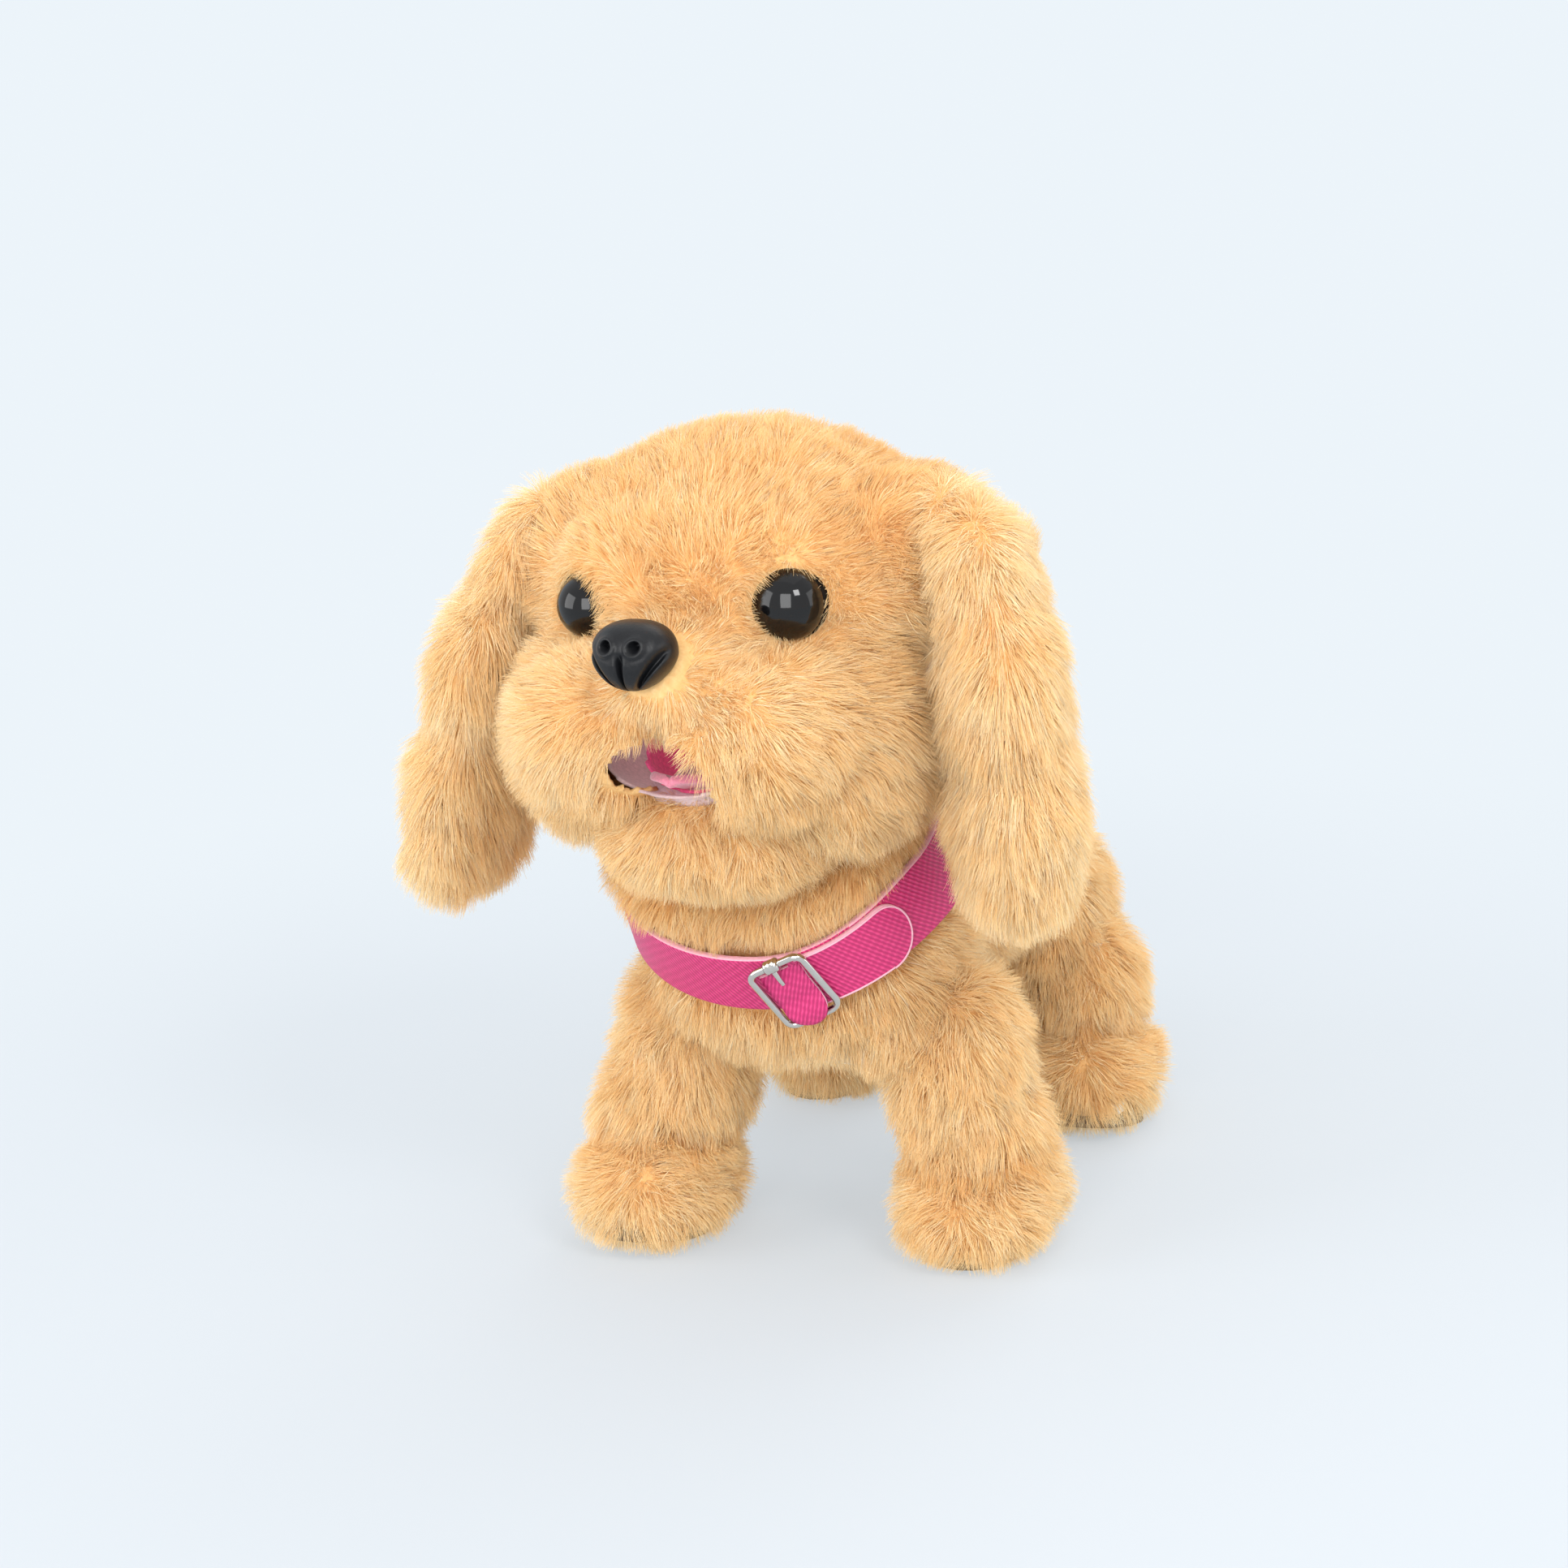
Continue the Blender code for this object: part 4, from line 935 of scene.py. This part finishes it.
for side, name, centre, radius in zip((1, -1), ("left", "right"), EYES, EYE_RADII):
    mount([eye_socket(f"eye_socket_{name}", side, centre)], "head")
    mount([eye_dome(f"eye_dome_{name}", side, centre, radius)], "head",
          replaced=f"eye_{name}")


# ------------------------------------------------------------------ nose
def nose_moulding():
    bm = bmesh.new()
    bmesh.ops.create_uvsphere(bm, u_segments=160, v_segments=110, radius=1.0)
    for v in bm.verts:
        x, y, z = v.co
        size = (abs(x) ** 2.35 + abs(y) ** 2.2 + abs(z) ** 2.35) ** (-1 / 2.3)
        x, y, z = x * size, y * size, z * size
        taper = 1.0 - 0.32 * max(0.0, -z) ** 1.3 + 0.03 * z
        front = min(1.0, max(0.0, -y) * 1.6)
        x, y, z = x * 9.3 * taper, y * 8.0, z * 7.5
        if front > 0:
            # lobes that fan up from the foot of the nose, with deep folds between them
            fold = abs(math.sin(math.atan2(x, z + 9.0) * 4.6))
            groove = math.exp(-(fold / 0.30) ** 2)
            low = (min(1.0, max(0.0, (2.2 - z + 0.25 * abs(x)) / 3.0))
                   * min(1.0, max(0.0, (z + 8.0) / 2.0)))
            y += front * low * (2.3 * groove - 0.4 * (1 - groove))
            z += front * low * 0.25 * groove
            # nostrils with raised rims
            for nostril_x in (-3.3, 3.3):
                away = math.hypot(x - nostril_x, (z - 3.3) * 1.05)
                y += front * (2.6 * math.exp(-(away / 0.85) ** 2)
                              - 0.75 * math.exp(-((away - 1.75) / 0.6) ** 2))
        v.co = Vector((x * 0.97 - 1.2, -111.4 + y, 157.7 + z * 0.98)) * MM
    return object_from_bmesh("nose_moulding", bm, NOSE_SATIN)


mount([nose_moulding()], "head", replaced="nose")


# ------------------------------------------------------------------ ears
def shape_ear(obj):
    """A crease down the ear and a notch in its lower edge."""
    points, normals = get_points(obj), get_normals(obj)
    _, y, z = points.T
    push(points, normals, -2.0 * (bell(y + 50 + (z - 140) * 0.08, 3.0) * ease(z, 98, 125)))
    z += 3.5 * bell(np.hypot(y + 66, (z - 93) * 0.8), 4.5)
    set_points(obj, points)


def build_ear(side, name):
    def inner_shade(points):
        """Darker on the side toward the head."""
        x, _, z = points.T
        middle = 58 if side > 0 else 59 + (141 - z) * 0.27
        return -0.16 * ease(-(x * side - middle), 1.0, 5.0) * ease(-z, -150, -110)

    shapes = [((x * side, y, z), radii, 2.3, tilt_y * side, 0, tilt_z * side)
              for x, y, z, *radii, tilt_y, tilt_z in EARS[name]]
    ear = soft_form(f"plush_ear_{name}", shapes, voxel=1.7, relax=8)
    shape_ear(ear)
    pile = coat(f"plush_ear_{name}_pile", ear, f"ear_{name}", toward((0.08 * side, 0.0, -1.0)),
                lambda points: 8.4 - 1.2 * ease(points[:, 2], 150, 180), seed=81 + side,
                base=0.68, extra=inner_shade, comb=0.8, droop=0.3)
    mount_blend((ear, pile),
                replaced=f"ear_{name}")


build_ear(1, "left")
build_ear(-1, "right")


# ------------------------------------------------------------------ legs
def leg_axes(points, hip_y, lean):
    """Distance behind and height above the hip, in the leaning leg's own axes."""
    sin, cos = math.sin(math.radians(lean)), math.cos(math.radians(lean))
    y, z = points[:, 1] - hip_y, points[:, 2] - HIP_Z
    return y * cos + z * sin, -y * sin + z * cos


def leg_flow(hip_y, lean, leg_x):
    """Down the leg, spreading from a whorl over the paw, and down again at the sole."""
    def flow(points, normals):
        y, z = leg_axes(points, hip_y, lean)
        x = points[:, 0] - leg_x
        whorl = np.stack([x, y + 14, z + 44], 1)
        paw = ease(-z, 36, 46)[:, None]
        low = ease(-points[:, 2], -15, -7)[:, None]
        out = np.stack([x * 0.04, (y + 4) * 0.03, np.full(len(points), -1.0)], 1)
        upper = unit(whorl) * paw + (1 - paw) * np.array([0, -0.1, -1.0])
        return unit(upper * (1 - low) + low * out)

    return flow


def leg_keep(points, normals):
    x, _, z = points.T
    hidden = inside(points, TORSO, -3.2) | ((z > 54) & (np.abs(x) < 24))
    under = (z < 4.2) & (normals[:, 2] < -0.6)
    return ~hidden & ~under


def hem_flow(points, normals):
    x, y, _ = normals.T
    return unit(np.stack([x * 0.25, y * 0.25, np.full(len(points), -1.0)], 1))


def hem_keep(points, normals):
    z = points[:, 2]
    return (z < 9.0) & (z > 3.4) & (normals[:, 2] > -0.85)


def shape_leg(obj, hip_y, lean):
    """A crease above the paw and a flat sole."""
    points, normals = get_points(obj), get_normals(obj)
    leg_y, leg_z = leg_axes(points, hip_y, lean)
    push(points, normals, -1.5 * bell(leg_z + 36.5 + 0.12 * leg_y, 2.6))
    z = points[:, 2]
    points[:, 2] = np.where(z < 2.6, 2.6 + (z - 2.6) * 0.05, z)
    set_points(obj, points)


def build_leg(name, seed):
    side, hip_y, lean, _ = LEGS[name]

    def crease_shade(points):
        return -0.26 * bell(leg_axes(points, hip_y, lean)[1] + 35.5, 2.6)

    leg = soft_form(f"plush_leg_{name}", LEG_SETS[name], voxel=1.7, relax=7)
    shape_leg(leg, hip_y, lean)
    pile = coat(f"plush_leg_{name}_pile", leg, f"leg_{name}",
                leg_flow(hip_y, lean, LEG_X * side),
                lambda points: 8.2 - 2.4 * ease(-points[:, 2], -10, -3), seed=seed,
                keep=leg_keep, clump_mm=3.0, clump=0.45, extra=crease_shade)
    # a denser fringe round the sole
    hem = coat(f"plush_leg_{name}_hem", leg, f"leg_{name}", hem_flow, 5.6, seed=seed + 200,
               keep=hem_keep, mesh_per=2.0, fibre_per=9.0, lift=0.42, comb=1.05, clump=0.2)
    drop_faces(leg, lambda points: inside(points, TORSO, -6.5) | (points[:, 2] > 74))
    thicken(leg, 1.0)
    mount_blend((leg, pile, hem),
                replaced=f"leg_fur_{name}")


for index, leg_name in enumerate(LEGS):
    build_leg(leg_name, seed=101 + 10 * index)

# ------------------------------------------------------------------ tail
tail = soft_form("plush_tail", TAIL, voxel=1.6, relax=6)
tail_pile = coat("plush_tail_pile", tail, "tail", toward((0, 0.35, 0.6)), 8.0, seed=171,
                 base=0.66, droop=0.1)
mount_blend((tail, tail_pile),
            replaced="tail_fur")


# ------------------------------------------------------------------ collar
def leather_material():
    """Pink grained strap with diagonal ribs, crossed by fainter ones."""
    material, tree, shader = new_material("collar_grain")
    uv = add_node(tree, "UVMap", {}, uv_map="strap").outputs["UV"]

    def bands(degrees, **inputs):
        turn = add_node(tree, "Mapping", {"Vector": uv, "Rotation": (0, 0, math.radians(degrees))})
        inputs.update({"Vector": turn.outputs[0], "Detail": 2.0})
        return add_node(tree, "TexWave", inputs, wave_type="BANDS")

    ribs = bands(38, Scale=3.6, Distortion=1.1)
    ribs.inputs["Detail Scale"].default_value = 3.0
    cross = bands(-52, Scale=1.7, Distortion=2.5)
    grain = add_node(tree, "TexNoise", {"Vector": uv, "Scale": 9.0, "Detail": 5.0})
    height = multiply_add(tree, cross.outputs["Fac"], 0.35, ribs.outputs["Fac"])
    height = multiply_add(tree, grain.outputs["Fac"], 0.5, height)
    colour = add_ramp(tree, multiply(tree, height, 0.62),
                      [(0.35, (0.44, 0.017, 0.115)), (0.75, (0.62, 0.032, 0.165)),
                       (1.0, (0.72, 0.06, 0.22))])
    bump = add_node(tree, "Bump", {"Strength": 0.5, "Distance": 0.00025, "Height": height})
    set_inputs(shader, {"Base Color": colour, "Roughness": 0.42, "Specular IOR Level": 0.45,
                        "Normal": bump.outputs[0]})
    return material


LEATHER = leather_material()
CUT_EDGE = simple("collar_edge", (0.86, 0.45, 0.56), rough=0.7, grain=1500, bump=0.3, vary=0.15)


def dress_leather(obj, outwardness, threshold):
    """Grained skin on faces that look out or in, the pale cut on the narrow edges."""
    obj.data.materials.append(LEATHER)
    obj.data.materials.append(CUT_EDGE)
    for polygon in obj.data.polygons:
        polygon.material_index = 0 if abs(outwardness(polygon)) > threshold else 1


def strap_point(theta, out, depth):
    """A point by its angle, distance outside the collar's ellipse and depth below the top."""
    bend = collar_bend(math.atan2(math.sin(theta), math.cos(theta)))
    out = out - PULL * bend * (1 - depth / COLLAR_WIDTH)
    x = (COLLAR_A + out) * np.sin(theta)
    y = -(COLLAR_B + out) * np.cos(theta)
    return COLLAR_CENTRE + COLLAR_AXES @ np.array([x, y, LIFT * bend - depth])


def strap_piece(name, start, end, out, thick, step, closed, width=COLLAR_WIDTH, offset=0.0):
    """A strap with crowned edges: a closed loop, or a length with a semicircle at its end."""
    arc = COLLAR_MEAN + out
    count = int((end - start) * arc / step)
    half, bevel = width / 2, 0.35
    # edge section: distance out from the inner face, distance in from the edge
    edge = [(0, bevel), (thick * 0.5, 0.0), (thick - bevel, 0.0),
            (thick - bevel * 0.3, bevel * 0.3), (thick, bevel)]
    inner = np.linspace(-half + bevel, half - bevel, 25)[1:-1]
    profile = [(d, -half + s) for d, s in edge]
    profile += [(thick, w) for w in inner]
    profile += [(d, half - s) for d, s in edge[::-1]]
    profile += [(0, w) for w in inner[::-1]]
    points = []
    for theta in np.linspace(start, end, count):
        squeeze = 1.0
        if not closed:
            left = min((end - theta) * arc, half)
            squeeze = max(math.sqrt(1 - ((half - left) / half) ** 2), 0.02)
        points += [strap_point(theta, out + d, half + w * squeeze + offset) for d, w in profile]
    m = len(profile)
    faces = [(i * m + j, i * m + (j + 1) % m, (i + 1) * m + (j + 1) % m, (i + 1) * m + j)
             for i in range(count - 1) for j in range(m)]
    if not closed:
        faces.append(tuple(range(m))[::-1])
        faces.append(tuple((count - 1) * m + j for j in range(m)))
    obj = mesh_from(name, points, faces)
    face_outward(obj, 50, weld=closed)
    local = collar_local(get_points(obj))
    set_uvs(obj.data, "strap", np.stack([collar_angle(local) * arc / 10, -local[:, 2] / 10], 1))
    angles = np.arctan2(local[:, 0] / COLLAR_A, -local[:, 1] / COLLAR_B)

    def outwardness(polygon):
        normal = COLLAR_AXES.T @ np.array(polygon.normal)
        angle = angles[polygon.vertices[0]]
        return normal[0] * math.sin(angle) - normal[1] * math.cos(angle)

    dress_leather(obj, outwardness, 0.86)
    return obj


BUCKLE_ANGLE = math.radians(18)
# The overlapping end: from the buckle toward the left, width, distance out, drop below the top
OVER_END, OVER_WIDTH, OVER_OUT, OVER_DROP = math.radians(60), 14.6, 0.95, 0.2

loop = strap_piece("collar_loop", 0.0, 2 * math.pi, out=-0.9, thick=1.8, step=1.2, closed=True)
overlap = strap_piece("collar_overlap", BUCKLE_ANGLE, OVER_END, out=OVER_OUT, thick=1.5,
                      step=0.6, closed=False, width=OVER_WIDTH, offset=OVER_DROP)
mount((loop, overlap), "chassis", replaced="collar_strap")


def tube(name, path, radius, material, sides=20, closed=False):
    """A round bar along a path, as one closed mesh; radius may vary along it."""
    path = np.array(path, float)
    n = len(path)
    if closed:
        following, previous = np.roll(path, -1, 0), np.roll(path, 1, 0)
    else:
        following = np.vstack([path[1:], 2 * path[-1:] - path[-2:-1]])
        previous = np.vstack([2 * path[:1] - path[1:2], path[:-1]])
    tangents = unit(following - previous)
    radii = np.broadcast_to(radius, n)
    points = []
    across = np.array([0.3, 0.2, 0.9])
    for i in range(n):
        across = across - tangents[i] * np.dot(across, tangents[i])
        across /= np.linalg.norm(across)
        over = np.cross(tangents[i], across)
        for k in range(sides):
            angle = 2 * math.pi * k / sides
            points.append(path[i] + (across * math.cos(angle) + over * math.sin(angle)) * radii[i])
    faces = [(i * sides + k, i * sides + (k + 1) % sides,
              ((i + 1) % n) * sides + (k + 1) % sides, ((i + 1) % n) * sides + k)
             for i in range(n if closed else n - 1) for k in range(sides)]
    if not closed:
        faces.append(tuple(range(sides))[::-1])
        faces.append(tuple((n - 1) * sides + k for k in range(sides)))
    obj = mesh_from(name, points, faces, material)
    face_outward(obj, 60)
    return obj


def overlap_rim():
    """A fine pale bead round the overlap: top edge, rounded end, bottom edge."""
    out, inset, half = 2.42, 0.25, OVER_WIDTH / 2
    reach = half / (COLLAR_MEAN + OVER_OUT)
    turn = OVER_END - reach
    path = [strap_point(theta, out, OVER_DROP + inset)
            for theta in np.linspace(math.radians(20), turn, 30)]
    path += [strap_point(OVER_END - reach * (1 - math.cos(a)), out,
                         COLLAR_WIDTH / 2 + 0.1 - (half - 0.2) * math.sin(a))
             for a in np.linspace(math.pi / 2, -math.pi / 2, 40)]
    path += [strap_point(theta, out, OVER_DROP + OVER_WIDTH - inset)
             for theta in np.linspace(turn, math.radians(24), 30)]
    return tube("collar_overlap_rim", path, 0.24, CUT_EDGE, sides=10)


mount([overlap_rim()], "chassis")

# ------------------------------------------------------------------ buckle
BUCKLE_TURN = math.radians(20)      # turned in the plane of the strap
BUCKLE_L, BUCKLE_W, BUCKLE_CORNER = 6.6, 8.8, 2.2      # half sizes along, across; corner radius
strap_out = np.array([math.sin(BUCKLE_ANGLE) / COLLAR_A, -math.cos(BUCKLE_ANGLE) / COLLAR_B, 0])
strap_out /= np.linalg.norm(strap_out)
OUT = COLLAR_AXES @ strap_out
strap_along = COLLAR_AXES @ np.array([-strap_out[1], strap_out[0], 0])
strap_up = COLLAR_AXES @ np.array([0, 0, 1.0])
ALONG = strap_along * math.cos(BUCKLE_TURN) + strap_up * math.sin(BUCKLE_TURN)
UP = strap_up * math.cos(BUCKLE_TURN) - strap_along * math.sin(BUCKLE_TURN)
BUCKLE_AT = COLLAR_CENTRE + COLLAR_AXES @ np.array(
    [COLLAR_A * math.sin(BUCKLE_ANGLE), -COLLAR_B * math.cos(BUCKLE_ANGLE),
     -COLLAR_WIDTH / 2 - 0.5]) + OUT * 2.9


def buckle_point(x, z, out=0.0):
    return BUCKLE_AT + ALONG * x + UP * z + OUT * out


def buckle_wire():
    """A rectangle of wire with rounded corners."""
    path = []
    for index, (sign_x, sign_z) in enumerate(((1, 1), (-1, 1), (-1, -1), (1, -1))):
        for k in range(9):
            a = math.radians(index * 90 + k * 90 / 8)
            path.append(buckle_point(
                sign_x * (BUCKLE_L - BUCKLE_CORNER) + BUCKLE_CORNER * math.cos(a),
                sign_z * (BUCKLE_W - BUCKLE_CORNER) + BUCKLE_CORNER * math.sin(a)))
    return tube("buckle_wire", path, 0.85, NICKEL, closed=True)


def prong_bar():
    """A tapering bar that rises from the wire's upper side."""
    heights = np.linspace(BUCKLE_W + 0.2, BUCKLE_W - 5.0, 14)
    path = [buckle_point(-0.4, z, 0.35 + 0.75 * math.sin(
        min(1.0, (BUCKLE_W - z) / 5.0) * math.pi / 2)) for z in heights]
    return tube("buckle_prong_bar", path, np.linspace(0.75, 0.5, len(heights)), NICKEL)


def prong_knuckle():
    """The prong's ringed barrel round the wire."""
    radii = [1.25, 1.6, 1.62, 1.5, 1.62, 1.62, 1.5, 1.62, 1.6, 1.25]
    path = [buckle_point(x, BUCKLE_W) for x in np.linspace(-2.1, 1.4, len(radii))]
    return tube("buckle_prong_knuckle", path, radii, NICKEL)


def keeper_tab():
    """The tab that runs down through the buckle, with a rounded foot."""
    rows, cols, length = 26, 9, 2 * BUCKLE_W - 2.2
    points = []
    for i in range(rows):
        s = i / (rows - 1)
        z = BUCKLE_W - 2.6 - s * length
        half, left = 5.0, (1 - s) * length
        if left < half:
            half *= math.sqrt(max(0.02, 1 - (1 - left / half) ** 2))
        out = (-1.3 + 1.3 * ease(-z, -BUCKLE_W + 2, 0)
               + 1.6 * ease(-z, BUCKLE_W * 0.2, BUCKLE_W * 0.8))
        for j in range(cols):
            t = j / (cols - 1) * 2 - 1
            points.append(buckle_point(-0.2 + t * half + 0.4 * s, z, out - 0.25 * t * t))
    obj = mesh_from("collar_tab", points, grid_faces(rows, cols))
    thicken(obj, 1.1, offset=0)
    away = get_points(obj) - BUCKLE_AT
    set_uvs(obj.data, "strap", np.stack([away @ ALONG / 10, away @ UP / 10], 1))
    dress_leather(obj, lambda polygon: np.dot(np.array(polygon.normal), OUT), 0.6)
    return obj


mount([buckle_wire()], "chassis", replaced="collar_buckle_frame")
mount((prong_bar(), prong_knuckle()), "buckle_prong", replaced="collar_buckle_prong")
mount([keeper_tab()], "chassis")

# ------------------------------------------------------------------ room, light and camera
# From here on, lengths are metres except in the camera's target.
CAMERA_AZIMUTH = math.radians(24)      # from the front toward the puppy's left


def paper_material():
    """Grey paper that fades into an even glow away from the puppy."""
    material, tree, shader = new_material("studio_paper")
    place = add_node(tree, "NewGeometry", {}).outputs["Position"]
    span = add_node(tree, "VectorMath", {0: place}, operation="LENGTH")
    fade = add_node(tree, "MapRange", {"Value": span.outputs["Value"], "From Min": 0.20,
                                       "From Max": 0.42, "To Min": 0.5, "To Max": 1.0},
                    interpolation_type="SMOOTHSTEP")
    glow = add_node(tree, "Emission", {"Color": (0.842, 0.905, 0.956, 1), "Strength": 1.0})
    mix = add_node(tree, "MixShader",
                   {0: fade.outputs[0], 1: shader.outputs[0], 2: glow.outputs[0]})
    set_inputs(tree.nodes["Material Output"], {"Surface": mix.outputs[0]})
    set_inputs(shader, {"Base Color": (0.53, 0.565, 0.60, 1), "Roughness": 0.7,
                        "Specular IOR Level": 0.2})
    return material


def studio_floor():
    """A flat floor that curves up into a backdrop, square to the camera."""
    profile = []      # y, z
    for i in range(41):
        s = i / 40
        if s < 0.6:
            profile.append((-1.2 + s / 0.6 * 2.6, 0))
        else:
            a = (s - 0.6) / 0.4 * math.pi / 2
            profile.append((1.4 + 1.0 * math.sin(a), 1.0 - 1.0 * math.cos(a)))
    profile.append((2.4, 3.2))
    bm = bmesh.new()
    rows = [[bm.verts.new((x, y, z - 0.0001)) for x in (-3.2, 3.2)] for y, z in profile]
    for a, b in zip(rows, rows[1:]):
        bm.faces.new((a[0], a[1], b[1], b[0]))
    obj = object_from_bmesh("studio_floor", bm, paper_material())
    obj.rotation_euler = (0, 0, CAMERA_AZIMUTH)
    return obj


def area(name, at, aim, size, power, colour=(1, 1, 1), size_y=None):
    lamp = bpy.data.lights.new(name, "AREA")
    lamp.energy, lamp.size, lamp.color = power, size, colour
    if size_y:
        lamp.shape, lamp.size_y = "RECTANGLE", size_y
    obj = link(bpy.data.objects.new(name, lamp))
    obj.location = at
    obj.rotation_euler = (Vector(aim) - Vector(at)).to_track_quat("-Z", "Y").to_euler()
    return obj


def seen_from(azimuth, elevation, reach):
    """A place by degrees from the front toward the left, degrees up, and distance."""
    a, e = math.radians(azimuth), math.radians(elevation)
    return (math.sin(a) * math.cos(e) * reach, -math.cos(a) * math.cos(e) * reach,
            math.sin(e) * reach + 0.1)


def studio_camera():
    elevation, roll, reach = math.radians(15), math.radians(-3.5), 880.0
    target = np.array([-19.0, 0.0, 99.0])
    sin, cos = math.sin(CAMERA_AZIMUTH), math.cos(CAMERA_AZIMUTH)
    back = np.array([sin * math.cos(elevation), -cos * math.cos(elevation),
                     math.sin(elevation)])
    level = np.array([cos, sin, 0])
    upright = np.cross(back, level)
    right = level * math.cos(roll) + upright * math.sin(roll)
    up = upright * math.cos(roll) - level * math.sin(roll)
    pose = np.eye(4)
    pose[:3] = np.column_stack([right, up, back, (target + back * reach) * MM])
    data = bpy.data.cameras.new("camera")
    data.sensor_width, data.lens = 36.0, 84.409938
    obj = link(bpy.data.objects.new("camera", data))
    obj.matrix_world = Matrix(pose.tolist())
    return obj


floor = studio_floor()
lamps = [
    area("key", seen_from(48, 38, 1.3), aim=(0, 0, 0.09), size=0.34, power=5.2,
         colour=(1, 1, 0.99)),
    area("window", seen_from(12, 18, 1.25), aim=(0, 0, 0.09), size=0.6, power=7.6, size_y=0.8),
    area("fill", seen_from(-50, 18, 1.4), aim=(0, 0, 0.08), size=0.9, power=8.0),
    area("top", (0, 0.15, 1.35), aim=(0, 0, 0), size=1.2, power=1.0),
    area("rim", seen_from(170, 40, 1.3), aim=(0, 0, 0.1), size=0.8, power=4.0),
    area("side", seen_from(100, 14, 1.3), aim=(0, 0.04, 0.06), size=0.8, power=3.0)]
scene = bpy.context.scene
scene.world = bpy.data.worlds.new("studio_world")
scene.world.use_nodes = True
set_inputs(scene.world.node_tree.nodes["Background"], {0: (0.97, 0.98, 1.0, 1), 1: 0.91})
camera = studio_camera()
scene.camera = camera
scene.view_settings.view_transform = "Standard"
